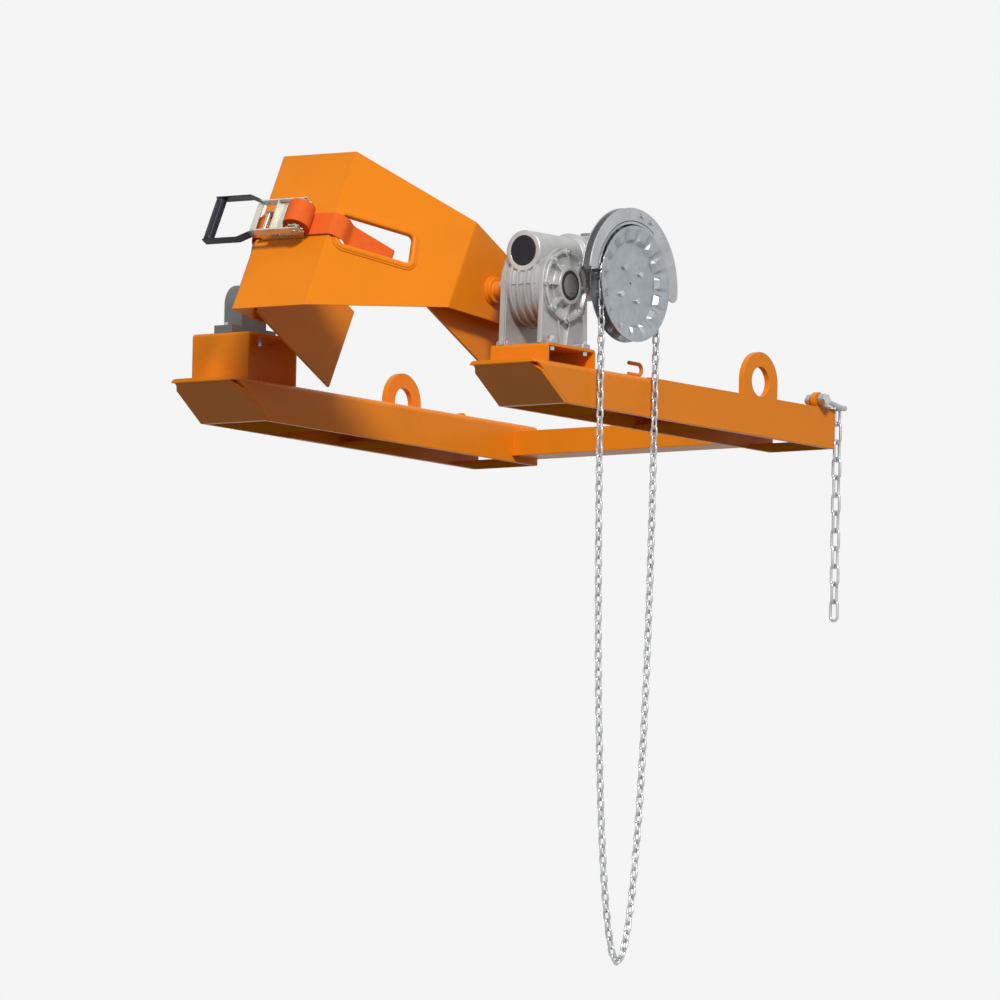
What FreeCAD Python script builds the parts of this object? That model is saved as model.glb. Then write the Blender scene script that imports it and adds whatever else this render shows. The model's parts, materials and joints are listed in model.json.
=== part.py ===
import FreeCAD, Part
import math
import os

V = FreeCAD.Vector

# Frame: origin midway between the pocket mouths, on the pocket roof.
# X to the gearbox side, Y to the rear, Z up. All lengths in millimetres.

# General fits
running_fit = 0.05
free_gap = 0.4
weld_gap = 0.2
half_share = 0.5
full_turn = 360.0

# Fork arms
arm_half_pitch = 368.0
arm_width = 160.0
arm_height = 80.0
arm_wall = 8.0
arm_length = 1045.0
nose_run = 105.0
channel_corner = 12.0
nose_corner_cut = 14.0
floor_plate = 8.0
nose_floor_length = 190.0
strap_length = 86.0
middle_strap_back = 400.0

# Lug plate in the outer wall of each arm
lug_plate_length = 650.0
lug_plate_thick = 12.0
lug_back = 264.0
lug_radius = 60.0
lug_hole = 30.0
lug_rise = 30.0
eye_back = 57.0
eye_radius = 16.0
eye_hole = 7.5
eye_rise = 14.0

# Cross tube
cross_height = 50.0
cross_depth = 80.0
cross_wall = 5.0
cross_drop = 18.0
cross_back = 10.0

# Chain hook on the near arm
hook_from_nose = 401.0
hook_inset = 22.0
hook_bar = 8.0
hook_height = 30.0
hook_reach = 48.0

# Tipping axis and stands
pivot_from_nose = 140.0
pivot_rise = 158.0
stand_width = 140.0
stand_length = 164.0
stand_height = 37.0
stand_plate = 6.0
stand_corner = 8.0
foot_bolt_across = 59.0
foot_bolt_along = 56.0

# Main worm gearbox
housing_half = 50.0
hub_half = 65.0
barrel_radius = 76.0
barrel_cavity = 62.0
rib_radius = 82.0
rib_thick = 5.0
rib_shares = (-0.42, -0.14, 0.14, 0.42)
leg_thick = 18.0
leg_top_half = 52.0
leg_foot_half = 68.0
foot_half_across = 68.0
foot_thick = 9.0
foot_pad_along = 26.0
main_centres = 66.0
worm_tube = 41.0
worm_tube_bore = 28.0
worm_front = 74.0
worm_rear = 84.0
worm_block_half = 36.0
rear_flange_radius = 50.0
rear_flange_thick = 9.0
cover_radius = 72.0
cover_thick = 8.0
cover_boss = 37.0
cover_rib_thick = 6.0
cover_rib_count = 8
cover_bolt_count = 8
cover_bolt_head = 5.0
cover_bolt_head_height = 4.5
cover_bolt_shank = 2.5
cover_bolt_depth = 12.0
seal_outer = 29.0
seal_thick = 6.0
hollow_shaft_outer = 23.0
drive_bore = 16.0
main_bearing_outer = 33.0
main_bearing_width = 14.0
wheel_pitch_radius = 45.0
wheel_width = 28.0
main_worm_pitch_radius = 21.0
main_worm_length = 62.0
worm_journal = 10.0
worm_bearing_width = 12.0
cap_radius = 30.0
cap_thick = 5.0

# First stage gearbox behind the chain wheel
wheel_behind_pivot = 159.0
first_centres = 48.0
first_wheel_pitch_radius = 30.0
first_wheel_width = 20.0
first_worm_pitch_radius = 18.0
first_worm_length = 44.0
first_body_radius = 50.0
first_body_half = 36.0
first_cavity = 40.0
first_cavity_half = 28.0
first_tube_radius = 30.0
first_tube_half = 48.0
first_tube_bore = 21.0
first_cover_radius = 42.0
first_cover_thick = 5.0
first_journal = 9.0
adapter_radius = 40.0
adapter_bore = 26.0
adapter_bolt_circle = 45.0
adapter_bolt_count = 4
adapter_bolt_head = 4.0
adapter_bolt_height = 4.0
adapter_bolt_shank = 2.0

# Hand chain and chain wheel
chain_pitch = 18.5
chain_wire = 5.0
chain_width = 17.0
link_slack = 0.3
link_corner_share = 0.8
pocket_count = 16
chain_drop = 1352.0
chain_curve_power = 2.6
groove_out = 95.0
disc_radius = 116.0
disc_plate = 2.0
disc_touch = 0.1
wall_room = 1.9
wall_run = 5.2
wall_skew = 1.2
rim_rise = 13.1
edge_wide = 4.0
rib_inner = 92.0
rib_outer = 110.0
rib_wide = 6.0
chain_seat_gap = 0.4
wheel_hub_radius = 17.0
wheel_hub_back = 25.0
wheel_flange_radius = 48.0
wheel_flange_thick = 6.0
wheel_bolt_circle = 39.0
wheel_bolt_count = 4
wheel_bolt_turn = 35.0
wheel_bolt_head = 6.5
wheel_bolt_height = 5.0
wheel_bolt_shank = 4.0
wheel_bolt_depth = 10.0
sight_hole = 3.5
sight_hole_circle = 65.0
sight_hole_turn = -10.0

# Chain guide
guide_plate = 3.0
guide_back_gap = 18.0
guide_rear_gap = 8.0
guide_front_gap = 10.0
guide_outer = 152.0
guide_inner = 92.0
guide_rim = 124.0
guide_front_inner = 119.0
guide_from = 172.0
guide_to = -10.0
guide_rim_to = 58.0
guide_rear_to = 52.0
guide_screw_angles = (66.0, 80.0)
guide_screw_head = 5.0
guide_screw_height = 4.0
guide_screw_circle = 140.0
guide_screw_shank = 2.5
bracket_half = 16.0
bracket_plate = 5.0
bracket_pad = 3.0

# Far bearing
block_length = 150.0
block_width = 44.0
block_base = 16.0
block_rise = 62.0
block_radius = 42.0
bush_outer = 26.0
far_journal = 17.5
block_bolt_along = 58.0

# Collar, upright in its own frame: X across, Y to the closed side, Z up
rest_turn = 153.0
collar_plate = 6.0
front_half = 90.0
front_depth = 349.0
side_half = 241.0
bend_depth = 110.0
side_end = 130.0
front_low = -113.0
front_high = 250.0
bend_low = -91.0
bend_high = 111.0
end_low = -89.0
end_high = 12.0
guide_plate_inset = 28.0
guide_low = -60.0
guide_high = 120.0
guide_depth = 150.0
slot_length = 180.0
slot_height = 86.0
slot_corner = 22.0
slot_along = 96.0
slot_rise = 47.0
slot_turn = 10.6
slot_rim = 13.0
slot_rim_stand = 5.0
slot_enter = 27.0
slot_pass = 47.0
web_run = 150.0
web_sink = 16.0
stub_radius = 17.0
stub_boss_radius = 25.0
stub_boss_length = 12.0
far_stub_end = 400.0
key_width = 8.0
key_height = 7.0
key_length = 70.0
key_depth_share = 0.55

# Ratchet strap on the closed side of the collar
web_width = 50.0
web_thick = 2.5
web_level = 60.0
roll_radius = 29.0
roll_across = 32.0
roll_stand = 35.0
reel_radius = 8.0
ratchet_plate = 3.0
ratchet_side_gap = 1.0
ratchet_end_radius = 14.0
frame_tail = 70.0
frame_rest_gap = 1.5
frame_side_height = 18.0
frame_base_from = -24.0
anchor_radius = 5.0
anchor_stand = 12.0
tooth_count = 10
tooth_root = 15.0
tooth_tip = 19.0
tooth_plate = 3.0
handle_plate = 3.0
handle_gap = 1.0
handle_reach = 205.0
handle_bend_from = 95.0
handle_bend_to = 130.0
handle_flare = 15.0
handle_half_height = 9.0
handle_rise = 4.0
grip_radius = 10.5
grip_half = 48.0
grip_core = 5.0
pawl_thick = 3.0
pawl_back = 52.0
pawl_body_gap = 1.5
pawl_tip_gap = 0.6
lock_pawl_drop = 17.0
lock_pawl_back = 48.0

# Shackle and securing chain at the near rear eye
shackle_wire = 10.0
shackle_half = 15.0
shackle_reach = 74.0
shackle_pin = 7.5
shackle_pin_head = 12.0
pin_head_length = 6.0
lock_pitch = 36.0
lock_wire = 6.0
lock_width = 23.0
lock_link_count = 12
shackle_droop = 8.5

# Hardware
foot_bolt = 5.0
foot_head = 8.0
foot_head_height = 6.5
foot_nut_height = 8.0

arm_top = arm_wall
arm_bottom = arm_top - arm_height
pivot_y = pivot_from_nose - arm_length
pivot_z = arm_top + pivot_rise
stand_top = arm_top + stand_height
worm_z = pivot_z + main_centres
wheel_y = pivot_y + wheel_behind_pivot
wheel_z = worm_z - first_centres
groove_x = arm_half_pitch + groove_out


def box(x0, x1, y0, y1, z0, z1):
    return Part.makeBox(x1 - x0, y1 - y0, z1 - z0, V(x0, y0, z0))


def cyl_x(x0, x1, y, z, r):
    return Part.makeCylinder(r, x1 - x0, V(x0, y, z), V(1, 0, 0))


def cyl_y(y0, y1, x, z, r):
    return Part.makeCylinder(r, y1 - y0, V(x, y0, z), V(0, 1, 0))


def cyl_z(z0, z1, x, y, r):
    return Part.makeCylinder(r, z1 - z0, V(x, y, z0), V(0, 0, 1))


def tube_x(x0, x1, y, z, r_out, r_in):
    return cyl_x(x0, x1, y, z, r_out).cut(cyl_x(x0, x1, y, z, r_in))


def tube_y(y0, y1, x, z, r_out, r_in):
    return cyl_y(y0, y1, x, z, r_out).cut(cyl_y(y0, y1, x, z, r_in))


def prism(points, along):
    wire = Part.makePolygon(points + [points[0]])
    return Part.Face(wire).extrude(along)


def prism_x(pairs, x0, x1):
    return prism([V(x0, y, z) for y, z in pairs], V(x1 - x0, 0, 0))


def prism_y(pairs, y0, y1):
    return prism([V(x, y0, z) for x, z in pairs], V(0, y1 - y0, 0))


def prism_z(pairs, z0, z1):
    return prism([V(x, y, z0) for x, y in pairs], V(0, 0, z1 - z0))


def hexagon(x, y, r, z0, z1):
    sides = 6
    turn = 2 * math.pi / sides
    pairs = [(x + r * math.cos(i * turn), y + r * math.sin(i * turn)) for i in range(sides)]
    return prism_z(pairs, z0, z1)


def hexagon_x(y, z, r, x0, x1):
    sides = 6
    turn = 2 * math.pi / sides
    pairs = [(y + r * math.cos(i * turn), z + r * math.sin(i * turn)) for i in range(sides)]
    return prism_x(pairs, x0, x1)


def hexagon_y(x, z, r, y0, y1):
    sides = 6
    turn = 2 * math.pi / sides
    pairs = [(x + r * math.cos(i * turn), z + r * math.sin(i * turn)) for i in range(sides)]
    return prism_y(pairs, y0, y1)


def fuse(shapes):
    out = shapes[0].multiFuse(shapes[1:]) if len(shapes) > 1 else shapes[0]
    return out.removeSplitter()


def cut(shape, tools):
    for tool in tools:
        shape = shape.cut(tool)
    return shape


def mirrored(shape):
    return shape.mirror(V(0, 0, 0), V(1, 0, 0))


def long_edges(shape, direction, test):
    found = []
    for edge in shape.Edges:
        a, b = edge.Vertexes[0].Point, edge.Vertexes[-1].Point
        span = b.sub(a)
        if span.Length > running_fit and abs(span.dot(direction)) > span.Length - running_fit:
            if test(a):
                found.append(edge)
    return found


def circle_points(count, radius, start=0.0):
    turn = 2 * math.pi / count
    return [
        (radius * math.cos(start + i * turn), radius * math.sin(start + i * turn)) for i in range(count)
    ]


nodes = {}


def put(name, shape):
    nodes[name] = shape


# Fork arms
wall_offset = arm_wall * math.hypot(nose_run, arm_height - arm_wall) / (arm_height - arm_wall)


def nose_line(z, offset):
    share = -z / (arm_height - arm_wall)
    return -arm_length + offset + nose_run * share


def arm_pieces():
    half = arm_width / 2
    x0, x1 = arm_half_pitch - half, arm_half_pitch + half
    lug_inner = x1 - lug_plate_thick
    outside = box(x0, x1, -arm_length, 0, arm_bottom, arm_top)
    outside = outside.makeFillet(
        channel_corner, long_edges(outside, V(0, 1, 0), lambda p: p.z > arm_top - running_fit)
    )
    inside = box(x0 + arm_wall, x1 - arm_wall, -arm_length, 0, arm_bottom, 0)
    nose_cut = prism_x(
        [
            (-arm_length - arm_wall, 0),
            (nose_line(0, wall_offset), 0),
            (nose_line(arm_bottom, wall_offset), arm_bottom),
            (-arm_length - arm_wall, arm_bottom),
        ],
        x0,
        x1,
    )
    plate_room = box(lug_inner, x1, -lug_plate_length, 0, arm_bottom, arm_top)
    channel = cut(outside, [inside, nose_cut, plate_room])

    nose = prism_x(
        [
            (nose_line(0, 0), 0),
            (nose_line(0, wall_offset), 0),
            (nose_line(arm_bottom, wall_offset), arm_bottom),
            (nose_line(arm_bottom, 0), arm_bottom),
        ],
        x0,
        x1,
    )
    for x, way in ((x0, 1), (x1, -1)):
        corner = prism_y(
            [(x, 0), (x + way * nose_corner_cut, 0), (x, -nose_corner_cut)],
            -arm_length,
            -arm_length + nose_run,
        )
        nose = nose.cut(corner)

    floor_top = arm_bottom + floor_plate
    floor_end = nose_line(arm_bottom, wall_offset) + nose_floor_length
    nose_floor = prism_x(
        [
            (nose_line(floor_top, wall_offset), floor_top),
            (floor_end, floor_top),
            (floor_end, arm_bottom),
            (nose_line(arm_bottom, wall_offset), arm_bottom),
        ],
        x0 + arm_wall,
        x1 - arm_wall,
    )
    straps = [
        box(x0 + arm_wall, lug_inner, y - strap_length, y, arm_bottom, floor_top)
        for y in (0, -middle_strap_back)
    ]

    lug_z = arm_top + lug_rise
    eye_z = arm_top + eye_rise
    lug = fuse(
        [
            box(lug_inner, x1, -lug_plate_length, 0, arm_bottom, arm_top),
            cyl_x(lug_inner, x1, -lug_back, lug_z, lug_radius),
            box(lug_inner, x1, -lug_back - lug_radius, -lug_back + lug_radius, arm_bottom, lug_z),
            cyl_x(lug_inner, x1, -eye_back, eye_z, eye_radius),
        ]
    )
    lug = cut(
        lug,
        [
            cyl_x(lug_inner, x1, -lug_back, lug_z, lug_hole),
            cyl_x(lug_inner, x1, -eye_back, eye_z, eye_hole),
        ],
    )
    return {
        "pocket_channel": channel,
        "nose_plate": nose,
        "pocket_floor": Part.Compound([nose_floor] + straps),
        "lug_plate": lug,
    }


for piece, shape in arm_pieces().items():
    put(piece + "_near", shape)
    put(piece + "_far", mirrored(shape))

inner_wall = arm_half_pitch - arm_width / 2
cross_top = arm_top - cross_drop
cross_front = -cross_back - cross_depth
cross = box(-inner_wall, inner_wall, cross_front, -cross_back, cross_top - cross_height, cross_top)
cross_inside = box(
    -inner_wall,
    inner_wall,
    cross_front + cross_wall,
    -cross_back - cross_wall,
    cross_top - cross_height + cross_wall,
    cross_top - cross_wall,
)
put("cross_tube", cross.cut(cross_inside))

# Chain hook: bar bent to a U on its side, open to the front
hook_x = arm_half_pitch + arm_width / 2 - hook_inset
hook_top = arm_top + hook_height
hook_back = hook_from_nose - arm_length
hook_front = hook_back - hook_reach
hook_radius = hook_height / 2
hook_turn_y = hook_back - hook_radius
hook_sides = (hook_x - hook_bar / 2, hook_x + hook_bar / 2)
hook = fuse(
    [
        cyl_x(*hook_sides, hook_turn_y, arm_top + hook_radius, hook_radius),
        box(*hook_sides, hook_front, hook_turn_y, arm_top, hook_top),
    ]
)
hook_room = fuse(
    [
        cyl_x(*hook_sides, hook_turn_y, arm_top + hook_radius, hook_radius - hook_bar),
        box(*hook_sides, hook_front, hook_turn_y, arm_top + hook_bar, hook_top - hook_bar),
    ]
)
hook = hook.cut(hook_room)
put("chain_hook", hook)


# Stands: bent plates open to both sides
def stand(x, top, bolts):
    half_x = stand_width / 2
    half_y = stand_length / 2
    outside = box(x - half_x, x + half_x, pivot_y - half_y, pivot_y + half_y, arm_top, top)
    outside = outside.makeFillet(
        stand_corner, long_edges(outside, V(1, 0, 0), lambda p: p.z > top - running_fit)
    )
    inside = box(
        x - half_x,
        x + half_x,
        pivot_y - half_y + stand_plate,
        pivot_y + half_y - stand_plate,
        arm_top,
        top - stand_plate,
    )
    holes = [
        cyl_z(top - stand_plate, top, x + bx, pivot_y + by, foot_bolt + free_gap) for bx, by in bolts
    ]
    return cut(outside.cut(inside), holes)


foot_bolts = [(sx * foot_bolt_across, sy * foot_bolt_along) for sx in (-1, 1) for sy in (-1, 1)]
put("gearbox_stand", stand(arm_half_pitch, stand_top, foot_bolts))
block_top = pivot_z - block_rise
block_bolts = [(0, s * block_bolt_along) for s in (-1, 1)]
put("bearing_stand", stand(-arm_half_pitch, block_top, block_bolts))


def bolt_set(x, top, grip, spots):
    pieces = []
    for bx, by in spots:
        px, py = x + bx, pivot_y + by
        pieces.append(
            fuse(
                [
                    hexagon(px, py, foot_head, top + grip, top + grip + foot_head_height),
                    cyl_z(top - stand_plate - foot_nut_height, top + grip, px, py, foot_bolt),
                    hexagon(px, py, foot_head, top - stand_plate - foot_nut_height, top - stand_plate),
                ]
            )
        )
    return pieces


near_bolts = bolt_set(arm_half_pitch, stand_top, foot_thick, foot_bolts)
far_bolts = bolt_set(-arm_half_pitch, block_top, block_base, block_bolts)
put("foot_bolts", Part.Compound(near_bolts + far_bolts))

# Main gearbox housing
gx = arm_half_pitch
front_y = pivot_y - worm_front
rear_y = pivot_y + worm_rear
solids = [
    cyl_x(gx - housing_half, gx + housing_half, pivot_y, pivot_z, barrel_radius),
    cyl_y(front_y, rear_y, gx, worm_z, worm_tube),
    box(gx - worm_block_half, gx + worm_block_half, front_y + worm_tube, rear_y, pivot_z, worm_z),
    cyl_y(rear_y - rear_flange_thick, rear_y, gx, worm_z, rear_flange_radius),
]
for share in rib_shares:
    x = gx + share * 2 * (housing_half - leg_thick)
    solids.append(cyl_x(x - rib_thick / 2, x + rib_thick / 2, pivot_y, pivot_z, rib_radius))
for way in (-1, 1):
    x_out = gx + way * housing_half
    x_in = x_out - way * leg_thick
    lo, hi = min(x_in, x_out), max(x_in, x_out)
    solids.append(
        prism_x(
            [
                (pivot_y - leg_foot_half, stand_top),
                (pivot_y + leg_foot_half, stand_top),
                (pivot_y + leg_top_half, pivot_z),
                (pivot_y - leg_top_half, pivot_z),
            ],
            lo,
            hi,
        )
    )
    for side in (-1, 1):
        y_out = pivot_y + side * leg_foot_half
        y_in = y_out - side * foot_pad_along
        x_pad = gx + way * foot_half_across
        solids.append(
            box(
                min(x_in, x_pad),
                max(x_in, x_pad),
                min(y_in, y_out),
                max(y_in, y_out),
                stand_top,
                stand_top + foot_thick,
            )
        )
housing = fuse(solids)
cover_bolt_circle = (barrel_cavity + cover_radius) / 2
housing = cut(
    housing,
    [
        cyl_x(gx - housing_half, gx + housing_half, pivot_y, pivot_z, barrel_cavity),
        cyl_y(front_y, rear_y, gx, worm_z, worm_tube_bore),
    ]
    + [
        cyl_z(stand_top, stand_top + foot_thick, gx + bx, pivot_y + by, foot_bolt + free_gap)
        for bx, by in foot_bolts
    ]
    + [
        cyl_x(
            *sorted((gx + way * housing_half, gx + way * (housing_half - cover_bolt_depth))),
            pivot_y + y,
            pivot_z + z,
            cover_bolt_shank + running_fit,
        )
        for way in (-1, 1)
        for y, z in circle_points(cover_bolt_count, cover_bolt_circle)
    ]
    + [
        cyl_y(rear_y - rear_flange_thick, rear_y, gx + dx, worm_z + dz, adapter_bolt_shank + running_fit)
        for dx, dz in circle_points(adapter_bolt_count, adapter_bolt_circle, math.pi / adapter_bolt_count)
    ],
)
cap_room = cyl_y(front_y, front_y + cap_thick, gx, worm_z, cap_radius)
housing = housing.cut(cap_room)
put("gearbox_housing", housing)
put("worm_cap", cyl_y(front_y, front_y + cap_thick, gx, worm_z, cap_radius - weld_gap))


# Output covers with ribs, boss, seal seat and bearing seat
def output_cover(way):
    def at(a, b, r):
        lo, hi = sorted((gx + way * a, gx + way * b))
        return cyl_x(lo, hi, pivot_y, pivot_z, r)

    face = housing_half
    plate_end = housing_half + cover_thick
    body = [
        at(face, plate_end, cover_radius),
        at(face - cover_thick, face, barrel_cavity - free_gap),
        at(face, hub_half, cover_boss),
    ]
    for y, z in circle_points(cover_rib_count, 1.0, math.pi / cover_rib_count):
        lo, hi = sorted((gx + way * face, gx + way * (hub_half - rib_thick)))
        rib = Part.makeBox(
            hi - lo,
            cover_radius - cover_rib_thick,
            cover_rib_thick,
            V(lo, pivot_y, pivot_z - cover_rib_thick / 2),
        )
        rib.rotate(V(lo, pivot_y, pivot_z), V(1, 0, 0), math.degrees(math.atan2(z, y)))
        body.append(rib)
    cover = fuse(body)
    bolts = [
        cyl_x(
            *sorted((gx + way * (face - cover_thick), gx + way * hub_half)),
            pivot_y + y,
            pivot_z + z,
            cover_bolt_shank + free_gap,
        )
        for y, z in circle_points(cover_bolt_count, cover_bolt_circle)
    ]
    seats = [
        at(0, hub_half, hollow_shaft_outer + free_gap),
        at(hub_half - seal_thick, hub_half, seal_outer + running_fit),
        at(face - cover_thick, face - cover_thick + main_bearing_width, main_bearing_outer + running_fit),
    ]
    return cut(cover, bolts + seats)


# Cover bolts run through the cover into the rim of the barrel
def cover_bolts(way):
    pieces = []
    for y, z in circle_points(cover_bolt_count, cover_bolt_circle):
        plate_end = housing_half + cover_thick
        head = (gx + way * plate_end, gx + way * (plate_end + cover_bolt_head_height))
        shank = (gx + way * (housing_half - cover_bolt_depth), gx + way * plate_end)
        pieces.append(
            fuse(
                [
                    hexagon_x(pivot_y + y, pivot_z + z, cover_bolt_head, min(head), max(head)),
                    cyl_x(min(shank), max(shank), pivot_y + y, pivot_z + z, cover_bolt_shank),
                ]
            )
        )
    return pieces


bearings = []
seals = []
put("cover_bolts", Part.Compound(cover_bolts(1) + cover_bolts(-1)))
for way, name in ((1, "outer"), (-1, "inner")):
    put("output_cover_" + name, output_cover(way))
    inner_face = housing_half - cover_thick
    seat = sorted((gx + way * inner_face, gx + way * (inner_face + main_bearing_width)))
    bearings.append(tube_x(*seat, pivot_y, pivot_z, main_bearing_outer, hollow_shaft_outer + running_fit))
    lip = sorted((gx + way * hub_half, gx + way * (hub_half - seal_thick)))
    seals.append(tube_x(*lip, pivot_y, pivot_z, seal_outer, hollow_shaft_outer + running_fit))
put("output_bearings", Part.Compound(bearings))
put("output_seals", Part.Compound(seals))

# Hollow output shaft, key and worm wheel turn with the collar
key_seat = box(
    gx - key_length / 2,
    gx + key_length / 2,
    pivot_y - key_width / 2,
    pivot_y + key_width / 2,
    pivot_z,
    pivot_z + drive_bore + key_height * (1 - key_depth_share),
)
hollow_bore = drive_bore + running_fit
hollow = tube_x(gx - hub_half, gx + hub_half, pivot_y, pivot_z, hollow_shaft_outer, hollow_bore)
put("hollow_shaft", hollow.cut(key_seat))
put(
    "drive_key",
    box(
        gx - key_length / 2,
        gx + key_length / 2,
        pivot_y - key_width / 2,
        pivot_y + key_width / 2,
        pivot_z + drive_bore - key_height * key_depth_share,
        pivot_z + drive_bore + key_height * (1 - key_depth_share),
    ),
)
put(
    "worm_wheel",
    tube_x(
        gx - wheel_width / 2,
        gx + wheel_width / 2,
        pivot_y,
        pivot_z,
        wheel_pitch_radius - running_fit,
        hollow_shaft_outer,
    ),
)

# Worm shaft along Y, carrying the first stage wheel at its rear end
first_end = wheel_y + first_wheel_width
worm_shaft = fuse(
    [
        cyl_y(
            pivot_y - main_worm_length / 2,
            pivot_y + main_worm_length / 2,
            gx,
            worm_z,
            main_worm_pitch_radius - running_fit,
        ),
        cyl_y(front_y + cap_thick + free_gap, first_end, gx, worm_z, worm_journal),
    ]
)
put("worm_shaft", worm_shaft)
bearing_spots = (front_y + cap_thick + free_gap, rear_y - worm_bearing_width)
worm_bearings = [
    tube_y(y, y + worm_bearing_width, gx, worm_z, worm_tube_bore - running_fit, worm_journal + running_fit)
    for y in bearing_spots
]
put("worm_bearings", Part.Compound(worm_bearings))
put(
    "first_wheel",
    tube_y(
        wheel_y - first_wheel_width / 2,
        wheel_y + first_wheel_width / 2,
        gx,
        worm_z,
        first_wheel_pitch_radius - running_fit,
        worm_journal,
    ),
)

# Adapter and first stage housing
first_front = wheel_y - first_body_half
first_rear = wheel_y + first_body_half
adapter = fuse(
    [
        cyl_y(rear_y, first_front, gx, worm_z, adapter_radius),
        cyl_y(rear_y, rear_y + rear_flange_thick, gx, worm_z, rear_flange_radius),
    ]
)
adapter_spots = circle_points(adapter_bolt_count, adapter_bolt_circle, math.pi / adapter_bolt_count)
adapter_head = rear_y + rear_flange_thick
adapter = cut(
    adapter,
    [cyl_y(rear_y, first_front, gx, worm_z, adapter_bore)]
    + [
        cyl_y(rear_y, adapter_head, gx + dx, worm_z + dz, adapter_bolt_shank + running_fit)
        for dx, dz in adapter_spots
    ],
)
put("input_adapter", adapter)
adapter_bolts = []
for dx, dz in adapter_spots:
    head = hexagon_y(
        gx + dx, worm_z + dz, adapter_bolt_head, adapter_head, adapter_head + adapter_bolt_height
    )
    shank = cyl_y(rear_y - rear_flange_thick, adapter_head, gx + dx, worm_z + dz, adapter_bolt_shank)
    adapter_bolts.append(fuse([head, shank]))
put("adapter_bolts", Part.Compound(adapter_bolts))

first_tube = (gx - first_tube_half, gx + first_tube_half)
first_housing = fuse(
    [
        cyl_y(first_front, first_rear, gx, worm_z, first_body_radius),
        cyl_x(*first_tube, wheel_y, wheel_z, first_tube_radius),
        box(
            gx - first_body_half,
            gx + first_body_half,
            wheel_y - first_tube_radius,
            wheel_y + first_tube_radius,
            wheel_z,
            worm_z,
        ),
        box(
            gx - bracket_half,
            gx + bracket_half,
            wheel_y - bracket_half,
            wheel_y + bracket_half,
            worm_z,
            worm_z + first_body_radius + bracket_pad,
        ),
    ]
)
first_housing = cut(
    first_housing,
    [
        cyl_y(wheel_y - first_cavity_half, first_rear, gx, worm_z, first_cavity),
        cyl_y(first_front, first_rear, gx, worm_z, adapter_bore),
        cyl_x(*first_tube, wheel_y, wheel_z, first_tube_bore),
    ],
)
put("first_housing", first_housing)
put(
    "first_cover",
    fuse(
        [
            cyl_y(first_rear, first_rear + first_cover_thick, gx, worm_z, first_cover_radius),
            cyl_y(first_rear - first_cover_thick, first_rear, gx, worm_z, first_cavity - free_gap),
        ]
    ),
)
end_rings = []
for lo in (first_tube[0], first_tube[1] - worm_bearing_width):
    end_rings.append(
        tube_x(
            lo,
            lo + worm_bearing_width,
            wheel_y,
            wheel_z,
            first_tube_bore - running_fit,
            first_journal + running_fit,
        )
    )
put("input_bearings", Part.Compound(end_rings))

# Input shaft along X: first stage worm and the seat of the chain wheel
chain_radius = chain_pitch * pocket_count / math.pi
link_radius = chain_radius * math.cos(math.pi / (2 * pocket_count))
flat_out = disc_touch + disc_plate
input_shaft = fuse(
    [
        cyl_x(
            gx - first_worm_length / 2,
            gx + first_worm_length / 2,
            wheel_y,
            wheel_z,
            first_worm_pitch_radius - running_fit,
        ),
        cyl_x(first_tube[0] + free_gap, groove_x, wheel_y, wheel_z, first_journal),
    ]
)
put("input_shaft", input_shaft)


# Chain wheel: two dished discs back to back, whose rims form the groove, a hub and four bolts
def wheel_disc(way):
    hub = first_journal + running_fit if way < 0 else sight_hole
    wall_start = link_radius - chain_width / 2 - wall_room
    wall_end = wall_start + wall_run
    wall_rise = chain_width / 2 + chain_seat_gap
    edge_inner = disc_radius - edge_wide
    section = [
        (disc_touch, hub),
        (disc_touch, wall_start),
        (wall_rise, wall_end),
        (rim_rise, edge_inner),
        (rim_rise, disc_radius),
        (rim_rise + disc_plate, disc_radius),
        (rim_rise + disc_plate, edge_inner - disc_plate),
        (wall_rise + disc_plate, wall_end - wall_skew),
        (flat_out, wall_start - wall_skew),
        (flat_out, hub),
    ]
    points = [V(groove_x + way * x, wheel_y + r, wheel_z) for x, r in section]
    face = Part.Face(Part.makePolygon(points + points[:1]))
    centre = V(groove_x, wheel_y, wheel_z)
    parts = [face.revolve(centre, V(1, 0, 0), full_turn)]
    rib_x = sorted((groove_x + way * (wall_rise + disc_plate), groove_x + way * (rim_rise + disc_plate)))
    for i in range(pocket_count):
        rib = box(
            *rib_x,
            wheel_y + rib_inner,
            wheel_y + rib_outer,
            wheel_z - rib_wide / 2,
            wheel_z + rib_wide / 2,
        )
        rib.rotate(centre, V(1, 0, 0), full_turn / pocket_count * (i + half_share))
        parts.append(rib)
    return fuse(parts)


bolt_spots = circle_points(wheel_bolt_count, wheel_bolt_circle, math.radians(wheel_bolt_turn))
sight_turn = math.radians(sight_hole_turn)
sight = cyl_x(
    groove_x,
    groove_x + flat_out,
    wheel_y + sight_hole_circle * math.cos(sight_turn),
    wheel_z + sight_hole_circle * math.sin(sight_turn),
    sight_hole,
)
wheel_bolt_holes = [
    cyl_x(
        groove_x + flat_out - wheel_bolt_depth,
        groove_x + flat_out,
        wheel_y + y,
        wheel_z + z,
        wheel_bolt_shank + running_fit,
    )
    for y, z in bolt_spots
]
put("wheel_front_disc", cut(wheel_disc(1), [sight] + wheel_bolt_holes))
put("wheel_back_disc", cut(wheel_disc(-1), wheel_bolt_holes))
hub_bore = first_journal + running_fit
hub_face = groove_x - flat_out
hub = fuse(
    [
        tube_x(
            hub_face - wheel_flange_thick, hub_face, wheel_y, wheel_z, wheel_flange_radius, hub_bore
        ),
        tube_x(
            hub_face - wheel_flange_thick - wheel_hub_back,
            hub_face,
            wheel_y,
            wheel_z,
            wheel_hub_radius,
            hub_bore,
        ),
    ]
)
put("wheel_hub", cut(hub, wheel_bolt_holes))
wheel_bolts = []
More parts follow.
